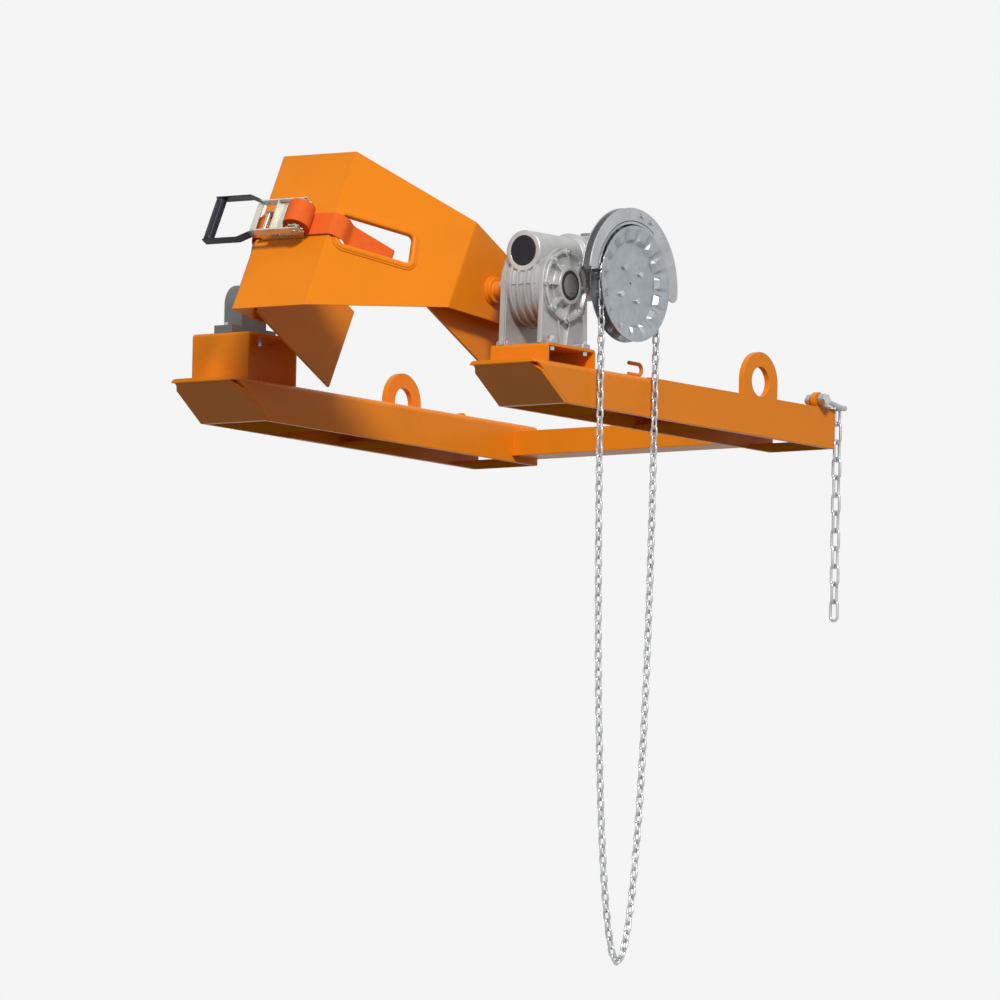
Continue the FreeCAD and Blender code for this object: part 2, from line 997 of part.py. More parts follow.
for y, z in bolt_spots:
    head = hexagon_x(
        wheel_y + y,
        wheel_z + z,
        wheel_bolt_head,
        groove_x + flat_out,
        groove_x + flat_out + wheel_bolt_height,
    )
    shank = cyl_x(
        groove_x + flat_out - wheel_bolt_depth,
        groove_x + flat_out,
        wheel_y + y,
        wheel_z + z,
        wheel_bolt_shank,
    )
    wheel_bolts.append(fuse([head, shank]))
put("wheel_bolts", Part.Compound(wheel_bolts))


# Chain guide: back plate, rim over the chain, rear ring and front ring
def sector(x0, x1, r_out, r_in, from_deg, to_deg):
    def at(radius, degrees):
        a = math.radians(degrees)
        return V(x0, wheel_y + radius * math.cos(a), wheel_z + radius * math.sin(a))

    middle = (from_deg + to_deg) / 2
    edges = [
        Part.Arc(at(r_out, from_deg), at(r_out, middle), at(r_out, to_deg)).toShape(),
        Part.makeLine(at(r_out, to_deg), at(r_in, to_deg)),
        Part.Arc(at(r_in, to_deg), at(r_in, middle), at(r_in, from_deg)).toShape(),
        Part.makeLine(at(r_in, from_deg), at(r_out, from_deg)),
    ]
    return Part.Face(Part.Wire(edges)).extrude(V(x1 - x0, 0, 0))


guide_back = groove_x - guide_back_gap
guide_rear = groove_x - guide_rear_gap
guide_front = groove_x + guide_front_gap
rim_outer = guide_rim + guide_plate
guide = fuse(
    [
        sector(guide_back - guide_plate, guide_back, rim_outer, guide_inner, guide_from, guide_rim_to),
        sector(guide_back, guide_front, rim_outer, guide_rim, guide_from, guide_rim_to),
        sector(guide_rear - guide_plate, guide_rear, guide_outer, guide_rim, guide_from, guide_rear_to),
        sector(guide_front - guide_plate, guide_front, guide_outer, guide_front_inner, guide_from, guide_to),
    ]
)
screws = []
for angle in guide_screw_angles:
    y = wheel_y + guide_screw_circle * math.cos(math.radians(angle))
    z = wheel_z + guide_screw_circle * math.sin(math.radians(angle))
    shank = (guide_rear - guide_plate - guide_screw_height, guide_front + guide_screw_height)
    guide = guide.cut(cyl_x(*shank, y, z, guide_screw_shank + running_fit))
    screws.append(
        fuse(
            [
                cyl_x(*shank, y, z, guide_screw_shank),
                hexagon_x(y, z, guide_screw_head, guide_front, shank[1]),
                hexagon_x(y, z, guide_screw_head, shank[0], guide_rear - guide_plate),
            ]
        )
    )
put("chain_guide", guide)
put("guide_screws", Part.Compound(screws))


# Hand chain path: over the wheel, then a hanging loop
def chain_path(drop):
    radius = chain_radius
    points = []
    arc_steps = 240
    run_steps = 900
    for i in range(arc_steps + 1):
        a = math.pi * (1 - i / arc_steps)
        points.append((wheel_y + radius * math.cos(a), wheel_z + radius * math.sin(a)))
    for i in range(1, run_steps + 1):
        t = math.sin(half_share * math.pi * i / run_steps)
        w = radius * math.sqrt(max(0.0, 1 - t**chain_curve_power))
        points.append((wheel_y + w, wheel_z - drop * t))
    left = []
    for y, z in points[arc_steps + 1 : -1]:
        left.append((2 * wheel_y - y, z))
    return points + left[::-1] + [points[0]]


def path_length(points):
    return sum(math.dist(a, b) for a, b in zip(points, points[1:]))


def closed_drop(drop):
    links = 2 * round(path_length(chain_path(drop)) / chain_pitch / 2)
    low, high = drop - 2 * chain_pitch, drop + 2 * chain_pitch
    for _ in range(40):
        middle = (low + high) / 2
        if path_length(chain_path(middle)) < links * chain_pitch:
            low = middle
        else:
            high = middle
    return middle, links


def points_along(points, pitch, count):
    out = []
    travelled = 0.0
    target = 0.0
    for a, b in zip(points, points[1:]):
        step = math.dist(a, b)
        while len(out) < count and target <= travelled + step + running_fit / 100:
            share = (target - travelled) / step if step else 0.0
            out.append((a[0] + (b[0] - a[0]) * share, a[1] + (b[1] - a[1]) * share))
            target += pitch
        travelled += step
    return out


def flat_link(pitch, wire, width):
    half = pitch / 2 + wire
    side = width / 2
    corner = wire * link_corner_share
    outer = [
        (half, side - corner),
        (half - corner, side),
        (corner - half, side),
        (-half, side - corner),
        (-half, corner - side),
        (corner - half, -side),
        (half - corner, -side),
        (half, corner - side),
    ]
    hole_x = pitch / 2 + link_slack
    hole_y = side - wire
    plate = prism_z(outer, -wire / 2, wire / 2)
    return plate.cut(box(-hole_x, hole_x, -hole_y, hole_y, -wire, wire))


drop, link_count = closed_drop(chain_drop)
stations = points_along(chain_path(drop), chain_pitch, link_count)
one_link = flat_link(chain_pitch, chain_wire, chain_width)
links = []
for i in range(link_count):
    a = stations[i]
    b = stations[(i + 1) % link_count]
    direction = V(0, b[0] - a[0], b[1] - a[1])
    direction.normalize()
    link = one_link.copy()
    side = V(1, 0, 0) if i % 2 else direction.cross(V(1, 0, 0))
    up = direction.cross(side)
    matrix = FreeCAD.Matrix(
        direction.x,
        side.x,
        up.x,
        groove_x,
        direction.y,
        side.y,
        up.y,
        (a[0] + b[0]) / 2,
        direction.z,
        side.z,
        up.z,
        (a[1] + b[1]) / 2,
        0,
        0,
        0,
        1,
    )
    link.Placement = FreeCAD.Placement(matrix)
    links.append(link)
put("hand_chain", Part.Compound(links))


# Bracket that carries the chain guide on the first stage housing
bracket_top = worm_z + first_body_radius + bracket_pad
bracket_z = bracket_top + bracket_plate
bracket = fuse(
    [
        box(
            gx - bracket_half,
            guide_back - guide_plate,
            wheel_y - bracket_half,
            wheel_y + bracket_half,
            bracket_top,
            bracket_z,
        ),
        box(
            guide_back - guide_plate - bracket_plate,
            guide_back - guide_plate,
            wheel_y - bracket_half,
            wheel_y + bracket_half,
            bracket_top,
            wheel_z + guide_rim,
        ),
    ]
)
put("guide_bracket", bracket)

# Far bearing: pillow block and bush
fx = -arm_half_pitch
block = fuse(
    [
        box(
            fx - block_width / 2,
            fx + block_width / 2,
            pivot_y - block_length / 2,
            pivot_y + block_length / 2,
            block_top,
            block_top + block_base,
        ),
        cyl_x(fx - block_width / 2, fx + block_width / 2, pivot_y, pivot_z, block_radius),
        box(
            fx - block_width / 2,
            fx + block_width / 2,
            pivot_y - block_radius,
            pivot_y + block_radius,
            block_top,
            pivot_z,
        ),
    ]
)
block = cut(
    block,
    [cyl_x(fx - block_width / 2, fx + block_width / 2, pivot_y, pivot_z, bush_outer)]
    + [
        cyl_z(block_top, block_top + block_base, fx + bx, pivot_y + by, foot_bolt + free_gap)
        for bx, by in block_bolts
    ],
)
put("bearing_block", block)
put(
    "bearing_bush",
    tube_x(
        fx - block_width / 2,
        fx + block_width / 2,
        pivot_y,
        pivot_z,
        bush_outer - running_fit,
        far_journal + running_fit,
    ),
)

# Collar pieces are drawn upright about the tipping axis, then turned to rest
rest_place = FreeCAD.Placement(V(0, pivot_y, pivot_z), FreeCAD.Rotation(V(1, 0, 0), rest_turn))


def put_collar(name, shape):
    turned = shape.copy()
    turned.Placement = rest_place.multiply(turned.Placement)
    put(name, turned)


def offset_line(points, distance):
    out = []
    for i in range(len(points)):
        normals = []
        for a, b in ((i - 1, i), (i, i + 1)):
            if a < 0 or b >= len(points):
                continue
            dx = points[b][0] - points[a][0]
            dy = points[b][1] - points[a][1]
            span = math.hypot(dx, dy)
            normals.append((dy / span, -dx / span))
        nx = sum(n[0] for n in normals)
        ny = sum(n[1] for n in normals)
        size = math.hypot(nx, ny)
        nx, ny = nx / size, ny / size
        lean = nx * normals[0][0] + ny * normals[0][1]
        out.append((points[i][0] + nx * distance / lean, points[i][1] + ny * distance / lean))
    return out


outline = [
    (-side_half, -side_end),
    (-side_half, bend_depth),
    (-front_half, front_depth),
    (front_half, front_depth),
    (side_half, bend_depth),
    (side_half, -side_end),
]
inner_line = offset_line(outline, collar_plate)
reach = front_high + slot_length
u_section = prism_z(outline + inner_line[::-1], -reach, reach)
edge_cut = prism_x(
    [
        (front_depth + collar_plate, front_low),
        (front_depth + collar_plate, front_high),
        (front_depth, front_high),
        (bend_depth, bend_high),
        (-side_end, end_high),
        (-side_end, end_low),
        (bend_depth, bend_low),
        (front_depth, front_low),
    ],
    -side_half,
    side_half,
)
shell = u_section.common(edge_cut)
slant_x = side_half - front_half
slant_y = bend_depth - front_depth
slant_length = math.hypot(slant_x, slant_y)
slant_turn = math.degrees(math.atan2(slant_y, slant_x))


def rounded_plate(length, height, corner, y0, y1):
    plate = box(-length / 2, length / 2, y0, y1, -height / 2, height / 2)
    edges = long_edges(plate, V(0, 1, 0), lambda p: True)
    return plate.makeFillet(corner, edges)


def on_slant(shape):
    turned = shape.copy()
    turned.rotate(V(0, 0, 0), V(0, 1, 0), slot_turn)
    turned.translate(V(slot_along, 0, slot_rise))
    turned.rotate(V(0, 0, 0), V(0, 0, 1), slant_turn)
    turned.translate(V(front_half, front_depth, 0))
    return turned


slot_tool = on_slant(
    rounded_plate(
        slot_length,
        slot_height,
        slot_corner,
        -collar_plate - 2 * slot_rim_stand,
        2 * slot_rim_stand,
    )
)
rim_outer = rounded_plate(
    slot_length, slot_height, slot_corner, -collar_plate - slot_rim_stand, slot_rim_stand
)
rim_inner = rounded_plate(
    slot_length - 2 * slot_rim,
    slot_height - 2 * slot_rim,
    slot_corner - slot_rim,
    -collar_plate - slot_rim_stand,
    slot_rim_stand,
)
rim = on_slant(rim_outer.cut(rim_inner))
put_collar("collar_shell", cut(shell, [slot_tool, mirrored(slot_tool)]))
put_collar("slot_rim_near", rim)
put_collar("slot_rim_far", mirrored(rim))

guide_x = side_half - collar_plate - guide_plate_inset
inner_plate = fuse(
    [
        box(guide_x - collar_plate, guide_x, -side_end, guide_depth, guide_low, guide_high),
        cyl_x(guide_x, side_half - collar_plate, 0, 0, stub_boss_radius),
        box(guide_x, side_half - collar_plate, -side_end, -side_end + collar_plate, guide_low, end_high),
    ]
)
put_collar("guide_plate_near", inner_plate)
put_collar("guide_plate_far", mirrored(inner_plate))

# Stub shafts with bosses
near_end = arm_half_pitch + hub_half - free_gap
stub_near = fuse(
    [
        cyl_x(side_half, side_half + stub_boss_length, 0, 0, stub_boss_radius),
        cyl_x(side_half, arm_half_pitch - hub_half - free_gap, 0, 0, stub_radius),
        cyl_x(side_half, near_end, 0, 0, drive_bore),
    ]
)
near_turned = stub_near.copy()
near_turned.Placement = rest_place.multiply(near_turned.Placement)
key_room = box(
    gx - key_length / 2,
    gx + key_length / 2,
    pivot_y - key_width / 2,
    pivot_y + key_width / 2,
    pivot_z + drive_bore - key_height * key_depth_share,
    pivot_z + drive_bore + key_height,
)
put("stub_shaft_near", near_turned.cut(key_room))
stub_far = fuse(
    [
        cyl_x(-side_half - stub_boss_length, -side_half, 0, 0, stub_boss_radius),
        cyl_x(-far_stub_end, -side_half, 0, 0, far_journal),
    ]
)
put_collar("stub_shaft_far", stub_far)

# Ratchet strap. Levels along Z are counted from the middle of the webbing
web_low = web_level - web_width / 2
web_high = web_level + web_width / 2
axle_y = front_depth + roll_stand


def slant_point(along, stand):
    ux, uy = slant_x / slant_length, slant_y / slant_length
    return (front_half + ux * along - uy * stand, front_depth + uy * along + ux * stand)


skin = weld_gap
anchor_x = -frame_tail + anchor_radius
anchor_y = front_depth + anchor_stand
over_rim = slot_rim_stand + skin
under_rim = -collar_plate - slot_rim_stand - skin - web_thick
near_line = [
    (roll_across, axle_y - roll_radius - skin - web_thick),
    slant_point(skin, over_rim),
    slant_point(slot_enter, over_rim),
    slant_point(slot_pass, under_rim),
    slant_point(web_run, under_rim - web_sink),
]
far_line = [(-x, y) for x, y in near_line[:0:-1]]
web_line = near_line + far_line + [(anchor_x, anchor_y - anchor_radius - skin - web_thick)]
web_outer = offset_line(web_line, -web_thick)
put_collar("webbing", prism_z(web_line + web_outer[::-1], web_low, web_high))

roll = cyl_z(web_low, web_high, roll_across, axle_y, roll_radius)
put_collar("web_roll", roll.cut(cyl_z(web_low, web_high, roll_across, axle_y, reel_radius)))

side_in = web_width / 2 + ratchet_side_gap
side_out = side_in + ratchet_plate
tooth_in = side_out + ratchet_side_gap / 2
tooth_out = tooth_in + tooth_plate
bar_in = tooth_out + handle_gap
bar_out = bar_in + handle_plate
reel_half = bar_out + ratchet_plate
base_low = front_depth + frame_rest_gap
frame_solids = []
for way in (-1, 1):
    z0, z1 = sorted((web_level + way * side_in, web_level + way * side_out))
    profile = [
        (-frame_tail, base_low),
        (roll_across, base_low),
        (roll_across + ratchet_end_radius, axle_y - ratchet_end_radius / 2),
        (roll_across + ratchet_end_radius, axle_y + ratchet_end_radius / 2),
        (roll_across + ratchet_end_radius / 2, axle_y + ratchet_end_radius),
        (roll_across - ratchet_end_radius / 2, axle_y + ratchet_end_radius),
        (roll_across - ratchet_end_radius, axle_y),
        (frame_base_from, base_low + frame_side_height),
        (-frame_tail, base_low + frame_side_height),
    ]
    frame_solids.append(prism_z(profile, z0, z1))
frame_solids.append(
    box(
        anchor_x + 2 * anchor_radius,
        frame_base_from,
        base_low,
        base_low + ratchet_plate,
        web_level - side_out,
        web_level + side_out,
    )
)
frame_solids.append(cyl_z(web_level - side_out, web_level + side_out, anchor_x, anchor_y, anchor_radius))
frame = fuse(frame_solids)
reel_span = (web_level - reel_half, web_level + reel_half)
frame = frame.cut(cyl_z(*reel_span, roll_across, axle_y, reel_radius + running_fit))
pawl_body_end = roll_across - roll_radius - pawl_body_gap
lock_y = axle_y - lock_pawl_drop


def pawl(back, y0, tip_x):
    body = box(back, pawl_body_end, y0, y0 + pawl_thick, web_level - tooth_out, web_level + tooth_out)
    tips = []
    for way in (-1, 1):
        z0, z1 = sorted((web_level + way * tooth_in, web_level + way * tooth_out))
        tips.append(box(back, tip_x, y0, y0 + pawl_thick, z0, z1))
    return fuse([body] + tips)


lock_reach = math.sqrt((tooth_tip + pawl_tip_gap) ** 2 - (lock_pawl_drop - pawl_thick) ** 2)
lock_tip = roll_across - lock_reach - pawl_body_gap
put_collar("lock_pawl", pawl(roll_across - lock_pawl_back, lock_y, lock_tip))
pawl_slot = box(
    roll_across - lock_pawl_back - free_gap,
    pawl_body_end + free_gap,
    lock_y,
    lock_y + pawl_thick + free_gap,
    web_level - tooth_out,
    web_level + tooth_out,
)
put_collar("ratchet_frame", frame.cut(pawl_slot))


def toothed_point(angle, radius):
    return (roll_across + radius * math.cos(angle), axle_y + radius * math.sin(angle))


def ratchet_wheel(z0, z1):
    points = []
    turn = 2 * math.pi / tooth_count
    for i in range(tooth_count):
        points.append(toothed_point(i * turn, tooth_tip))
        points.append(toothed_point((i + half_share / 2) * turn, tooth_root))
    return prism_z(points, z0, z1)


reel = fuse(
    [
        cyl_z(*reel_span, roll_across, axle_y, reel_radius),
        ratchet_wheel(web_level - tooth_out, web_level - tooth_in),
        ratchet_wheel(web_level + tooth_in, web_level + tooth_out),
    ]
)
put_collar("ratchet_reel", reel)
put_collar("drive_pawl", pawl(roll_across - pawl_back, axle_y, roll_across - tooth_tip - pawl_tip_gap))

# Handle: two bent side bars, cross plate and gripped end bar
bar_y = axle_y + handle_rise
bars = []
grip_x = roll_across - handle_reach
for way in (-1, 1):
    run = [
        (roll_across + ratchet_end_radius, bar_in),
        (roll_across - handle_bend_from, bar_in),
        (roll_across - handle_bend_to, bar_in + handle_flare),
        (grip_x - handle_half_height, bar_in + handle_flare),
    ]
    line = [(x, web_level + way * z) for x, z in run]
    other = offset_line(line, way * handle_plate)
    bar = prism(
        [V(x, bar_y - handle_half_height, z) for x, z in line + other[::-1]],
        V(0, 2 * handle_half_height, 0),
    )
    bars.append(bar)
bars.append(
    box(
        roll_across - pawl_back - handle_plate,
        roll_across - pawl_back,
        bar_y - handle_half_height,
        bar_y + handle_half_height,
        web_level - bar_in,
        web_level + bar_in,
    )
)
bars.append(
    cyl_z(web_level - bar_out - handle_flare, web_level + bar_out + handle_flare, grip_x, bar_y, grip_core)
)
handle = fuse(bars)
handle = handle.cut(
    cyl_z(
        web_level - reel_half, web_level + reel_half, roll_across, axle_y, reel_radius + running_fit
    )
)
put_collar("ratchet_handle", handle)
put_collar(
    "handle_grip",
    cyl_z(web_level - grip_half, web_level + grip_half, grip_x, bar_y, grip_radius).cut(
        cyl_z(web_level - grip_half, web_level + grip_half, grip_x, bar_y, grip_core)
    ),
)

# Shackle through the rear eye, lying to the rear, with the securing chain
eye_x = arm_half_pitch + arm_width / 2 - lug_plate_thick / 2
eye_z = arm_top + eye_rise
wire_r = shackle_wire / 2
leg_spots = [eye_x + way * shackle_half for way in (-1, 1)]
bow_end = shackle_reach
shackle_parts = [cyl_y(0, bow_end, x, 0, wire_r) for x in leg_spots]
shackle_parts.append(cyl_x(leg_spots[0] - wire_r, leg_spots[1] + wire_r, bow_end, 0, wire_r))
for x in leg_spots:
    shackle_parts.append(cyl_x(x - wire_r, x + wire_r, 0, 0, shackle_pin_head))
pin_span = (leg_spots[0] - wire_r - pin_head_length, leg_spots[1] + wire_r + pin_head_length)
shackle = fuse(shackle_parts).cut(cyl_x(*pin_span, 0, 0, shackle_pin))
droop_place = FreeCAD.Placement(V(0, -eye_back, eye_z), FreeCAD.Rotation(V(1, 0, 0), -shackle_droop))
shackle.Placement = droop_place
put("shackle_bow", shackle)
put(
    "shackle_pin",
    fuse(
        [
            cyl_x(*pin_span, -eye_back, eye_z, shackle_pin - running_fit),
            hexagon_x(-eye_back, eye_z, shackle_pin_head, pin_span[1] - pin_head_length, pin_span[1]),
        ]
    ),
)
bow_bar = droop_place.multVec(V(0, bow_end, 0))
lock_link = flat_link(lock_pitch, lock_wire, lock_width)
lock_links = []
hang = bow_bar.z + wire_r - lock_pitch / 2
for i in range(lock_link_count):
    link = lock_link.copy()
    link.rotate(V(0, 0, 0), V(0, 1, 0), full_turn / 4)
    if i % 2:
        link.rotate(V(0, 0, 0), V(0, 0, 1), full_turn / 4)
    link.translate(V(eye_x, bow_bar.y, hang - i * lock_pitch))
    lock_links.append(link)
put("securing_chain", Part.Compound(lock_links))


os.makedirs("parts", exist_ok=True)
for name, shape in nodes.items():
    shape.exportStep("parts/" + name + ".step")
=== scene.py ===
import json
import math

import bmesh
import bpy
import numpy as np
from mathutils import Matrix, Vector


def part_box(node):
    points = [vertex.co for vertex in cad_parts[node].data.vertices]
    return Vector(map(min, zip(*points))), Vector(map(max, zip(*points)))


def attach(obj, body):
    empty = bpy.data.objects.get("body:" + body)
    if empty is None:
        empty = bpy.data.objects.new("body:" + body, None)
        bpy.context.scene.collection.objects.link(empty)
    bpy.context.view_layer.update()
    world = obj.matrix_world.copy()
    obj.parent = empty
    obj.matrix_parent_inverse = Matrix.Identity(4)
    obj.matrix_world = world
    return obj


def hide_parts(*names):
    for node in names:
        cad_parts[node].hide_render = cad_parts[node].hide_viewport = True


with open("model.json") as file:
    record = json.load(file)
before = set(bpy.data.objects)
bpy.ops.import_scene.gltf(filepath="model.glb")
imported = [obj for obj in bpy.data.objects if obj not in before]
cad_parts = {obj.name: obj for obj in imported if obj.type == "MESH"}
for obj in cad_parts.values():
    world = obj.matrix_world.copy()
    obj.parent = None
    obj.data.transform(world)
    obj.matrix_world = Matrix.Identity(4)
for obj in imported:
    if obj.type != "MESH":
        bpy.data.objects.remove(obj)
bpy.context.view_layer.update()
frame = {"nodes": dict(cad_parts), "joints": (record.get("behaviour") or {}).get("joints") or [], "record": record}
nodes = frame["nodes"]
joints = {j["name"]: j for j in frame["joints"]}
body_of = {n: b for b, names in frame["record"]["behaviour"]["bodies"].items() for n in names}
slot_of = {s["node"]: s["material_slot"] for s in frame["record"]["subparts"]}

MM = 0.001
BOTH = (1.0, -1.0)
FULL_TURN = 2.0 * math.pi
QUARTER_TURN = math.pi / 2.0


# Directions and places, in millimetres, from the frame's joints and boxes

def place_of(joint):
    """A joint's place, to a thousandth of a millimetre."""
    return np.round(np.array(joints[joint]["pos_m"], float) / MM, 3)


def box_of(node):
    """The lowest and the highest corner of a CAD node, to a tenth of a millimetre."""
    return [np.round(np.array(corner) / MM, 1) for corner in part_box(node)]


# The rows of these are the directions of a shape's first, second and third measure.
ALONG_X = np.array([[0.0, 1, 0], [0, 0, 1], [1, 0, 0]])
ALONG_Y = np.array([[0.0, 0, 1], [1, 0, 0], [0, 1, 0]])
ALONG_Z = np.eye(3)
X_THEN_Z = ALONG_Y[[1, 0, 2]]

PIVOT = place_of("tip")
WHEEL = place_of("chain_wheel_turn")
WORM = place_of("worm_turn")
GEAR = np.array([WORM[0], PIVOT[1], PIVOT[2]])
FIRST_CASE = np.array([WORM[0], WHEEL[1], WORM[2]])
FIRST_WORM = np.array([WORM[0], WHEEL[1], WHEEL[2]])
FOOT_LEVEL = box_of("gearbox_housing")[0][2] - GEAR[2]

# Collar frame: across, depth from the pivot, level (positive is lower). The reel's axis runs along level.
reel_axis = joints["reel_turn"]["axis"]
LEAN = math.radians(round(math.degrees(math.atan2(reel_axis[1], reel_axis[2])), 3))
COLLAR = np.array([[1.0, 0, 0],
                   [0, -math.cos(LEAN), math.sin(LEAN)],
                   [0, -math.sin(LEAN), -math.cos(LEAN)]])
ACROSS_THEN_LEVEL = COLLAR[[0, 2, 1]]
REEL = np.round(COLLAR @ (place_of("reel_turn") - PIVOT), 2)


# Shader graphs

class Value:
    """One socket of a node graph. The usual operators add Math nodes to the graph."""

    def __init__(self, graph, socket):
        self.graph, self.socket = graph, socket

    def maths(self, operation, a, b=0.0):
        return self.graph.node("ShaderNodeMath", {"operation": operation}, {0: a, 1: b})

    def __add__(self, other):
        return self.maths("ADD", self, other)

    def __sub__(self, other):
        return self.maths("SUBTRACT", self, other)

    def __mul__(self, other):
        return self.maths("MULTIPLY", self, other)

    def __rsub__(self, other):
        return self.maths("SUBTRACT", other, self)

    __radd__, __rmul__ = __add__, __mul__

    def __abs__(self):
        return self.maths("ABSOLUTE", self)

    def sine(self):
        return self.maths("SINE", self)

    def most(self, other):
        return self.maths("MAXIMUM", self, other)

    def ramp(self, low, high):
        """0 below low, 1 above high, smooth between them."""
        return self.graph.node("ShaderNodeMapRange", {"interpolation_type": "SMOOTHSTEP"},
                               {0: self, 1: low, 2: high})


class Graph:
    """Adds nodes to a node tree: type, settings, then values or links by input."""

    def __init__(self, tree):
        self.tree = tree
        tree.nodes.clear()

    def node(self, kind, settings=None, values=None, out=0):
        made = self.tree.nodes.new(kind)
        for key, value in (settings or {}).items():
            setattr(made, key, value)
        for key, value in (values or {}).items():
            if isinstance(value, Value):
                self.tree.links.new(value.socket, made.inputs[key])
            else:
                made.inputs[key].default_value = value
        return Value(self, made.outputs[out]) if len(made.outputs) else None

    def place(self, source="Object"):
        return self.node("ShaderNodeTexCoord", out=source)

    def part(self, vector, which):
        """One coordinate of a vector: 0 is X, 1 is Y."""
        return self.node("ShaderNodeSeparateXYZ", None, {0: vector}, which)

    def noise(self, scale, detail):
        values = {"Vector": self.place(), "Scale": scale, "Detail": detail}
        return self.node("ShaderNodeTexNoise", None, values)

    def mix(self, share, first, second):
        return self.node("ShaderNodeMix", {"data_type": "RGBA"}, {0: share, 6: first, 7: second}, 2)

    def clouded(self, cloud, colour, darkest, lightest):
        """A colour that drifts between two shades of itself."""
        return self.mix(cloud.ramp(0.3, 0.7), shade(colour, darkest), shade(colour, lightest))

    def bump(self, height, distance, strength):
        return self.node("ShaderNodeBump", None,
                         {"Strength": strength, "Distance": distance, "Height": height})


def rgb(red, green, blue):
    return (red, green, blue, 1.0)


def grey(level):
    return rgb(level, level, level)


def shade(colour, factor):
    """A colour times a factor, no lighter than white."""
    return tuple(min(1.0, c * factor) for c in colour[:3]) + (1.0,)


# Finishes: scales and depths are in metres or per metre

def finish(name, build):
    """A material whose shader sockets are given by build(graph)."""
    material = bpy.data.materials.new(name)
    material.use_nodes = True
    graph = Graph(material.node_tree)
    shader = graph.node("ShaderNodeBsdfPrincipled", None, build(graph))
    graph.node("ShaderNodeOutputMaterial", None, {"Surface": shader})
    return material


def paint(colour, gloss=0.14):
    """Sprayed paint: a slow drift of tone, small rubbed specks, and the fine bumps of a sprayed coat."""
    def build(g):
        cloud = g.noise(scale=5.0, detail=4.0)
        rubbed = g.noise(scale=60.0, detail=6.0).ramp(0.60, 0.74)
        tone = g.clouded(cloud, colour, darkest=0.95, lightest=1.04)
        tone = g.mix(rubbed * 0.10, tone, shade(colour, 0.62))
        peel = g.noise(scale=420.0, detail=1.0)
        return {"Base Color": tone, "Roughness": 0.28 + 0.12 * cloud, "Specular IOR Level": gloss,
                "Normal": g.bump(peel, distance=0.00022, strength=0.2)}
    return build


def metal(colour, rough, metallic=0.8, cell=0.0):
    """Plated or bare metal: clouded tone, fine grain, and plating crystals where cell is set."""
    def build(g):
        cloud = g.noise(scale=28.0, detail=4.0)
        fine = g.noise(scale=300.0, detail=3.0)
        tone = g.clouded(cloud, colour, darkest=0.88, lightest=1.08)
        if cell:
            spangle = g.node("ShaderNodeTexVoronoi", None, {"Vector": g.place(), "Scale": cell}, "Color")
            patch = g.node("ShaderNodeSeparateColor", None, {0: spangle})
            tone = g.mix(patch * 0.30, tone, shade(colour, 1.22))
        return {"Base Color": tone, "Roughness": rough - 0.08 + 0.16 * fine, "Metallic": metallic,
                "Normal": g.bump(fine, distance=0.00006, strength=0.6)}
    return build


def cast(colour, rough, metallic=0.45):
    """Cast metal: gritty skin, clouded tone and darker stains."""
    def build(g):
        cloud = g.noise(scale=16.0, detail=5.0)
        grit = g.noise(scale=650.0, detail=3.0)
        stain = g.noise(scale=9.0, detail=5.0).ramp(0.50, 0.72)
        tone = g.clouded(cloud, colour, darkest=0.90, lightest=1.07)
        tone = g.mix(stain * 0.25, tone, shade(colour, 0.74))
        return {"Base Color": tone, "Roughness": rough - 0.06 + 0.14 * grit, "Metallic": metallic,
                "Normal": g.bump(grit, distance=0.00035, strength=0.55)}
    return build


def dark_reflection_end(colour, dark, edge, rough):
    """Plated metal painted dark where X is below edge: a painted dark reflection."""
    def build(g):
        x = g.part(g.place(), 0)
        cloud = g.noise(scale=30.0, detail=4.0)
        bare = (x + 0.006 * cloud).ramp(edge - 0.006, edge + 0.012)
        light = g.clouded(cloud, colour, darkest=0.88, lightest=1.08)
        return {"Base Color": g.mix(bare, dark, light), "Roughness": rough + 0.1 * cloud,
                "Metallic": 0.75 * bare, "Specular IOR Level": 0.28}
    return build


def painted_boss(colour, metal_colour, edge):
    """Paint near the collar, bare metal where the distance from the middle passes edge."""
    def build(g):
        x = g.part(g.place(), 0)
        bare = abs(x).ramp(edge, edge + 0.0005)
        cloud = g.noise(scale=20.0, detail=4.0)
        coat = g.mix(cloud, shade(colour, 0.92), shade(colour, 1.05))
        return {"Base Color": g.mix(bare, coat, metal_colour), "Roughness": 0.34 + 0.08 * cloud,
                "Metallic": 0.85 * bare}
    return build


def plain(colour, rough, gloss=0.5):
    """Moulded plastic or rubber: clouded tone and a fine matt skin."""
    def build(g):
        cloud = g.noise(scale=30.0, detail=4.0)
        tone = g.clouded(cloud, colour, darkest=0.75, lightest=1.3)
        fine = g.noise(scale=500.0, detail=2.0)
        return {"Base Color": tone, "Roughness": rough - 0.06 + 0.12 * cloud, "Specular IOR Level": gloss,
                "Normal": g.bump(fine, distance=0.0001, strength=0.5)}
    return build


def woven(colour, rib_pitch=0.0021, pick_pitch=0.0018):
    """Webbing: u is the length along the strap and v the width, with ribs along it and slanted picks."""
    def build(g):
        uv = g.place("UV")
        u = g.part(uv, 0)
        v = g.part(uv, 1)
        rib = (v * (FULL_TURN / rib_pitch)).sine()
        pick = ((u + 0.5 * v) * (FULL_TURN / pick_pitch)).sine()
        weave = 0.5 + 0.3 * rib + 0.2 * pick
        dust = g.noise(scale=45.0, detail=5.0)
        tone = g.mix(weave, shade(colour, 0.72), shade(colour, 1.10))
        tone = g.mix(dust.ramp(0.45, 0.75) * 0.25, tone, shade(colour, 0.60))
        return {"Base Color": tone, "Roughness": 0.72 + 0.12 * dust, "Specular IOR Level": 0.2,
                "Normal": g.bump(weave, distance=0.0003, strength=0.6)}
    return build


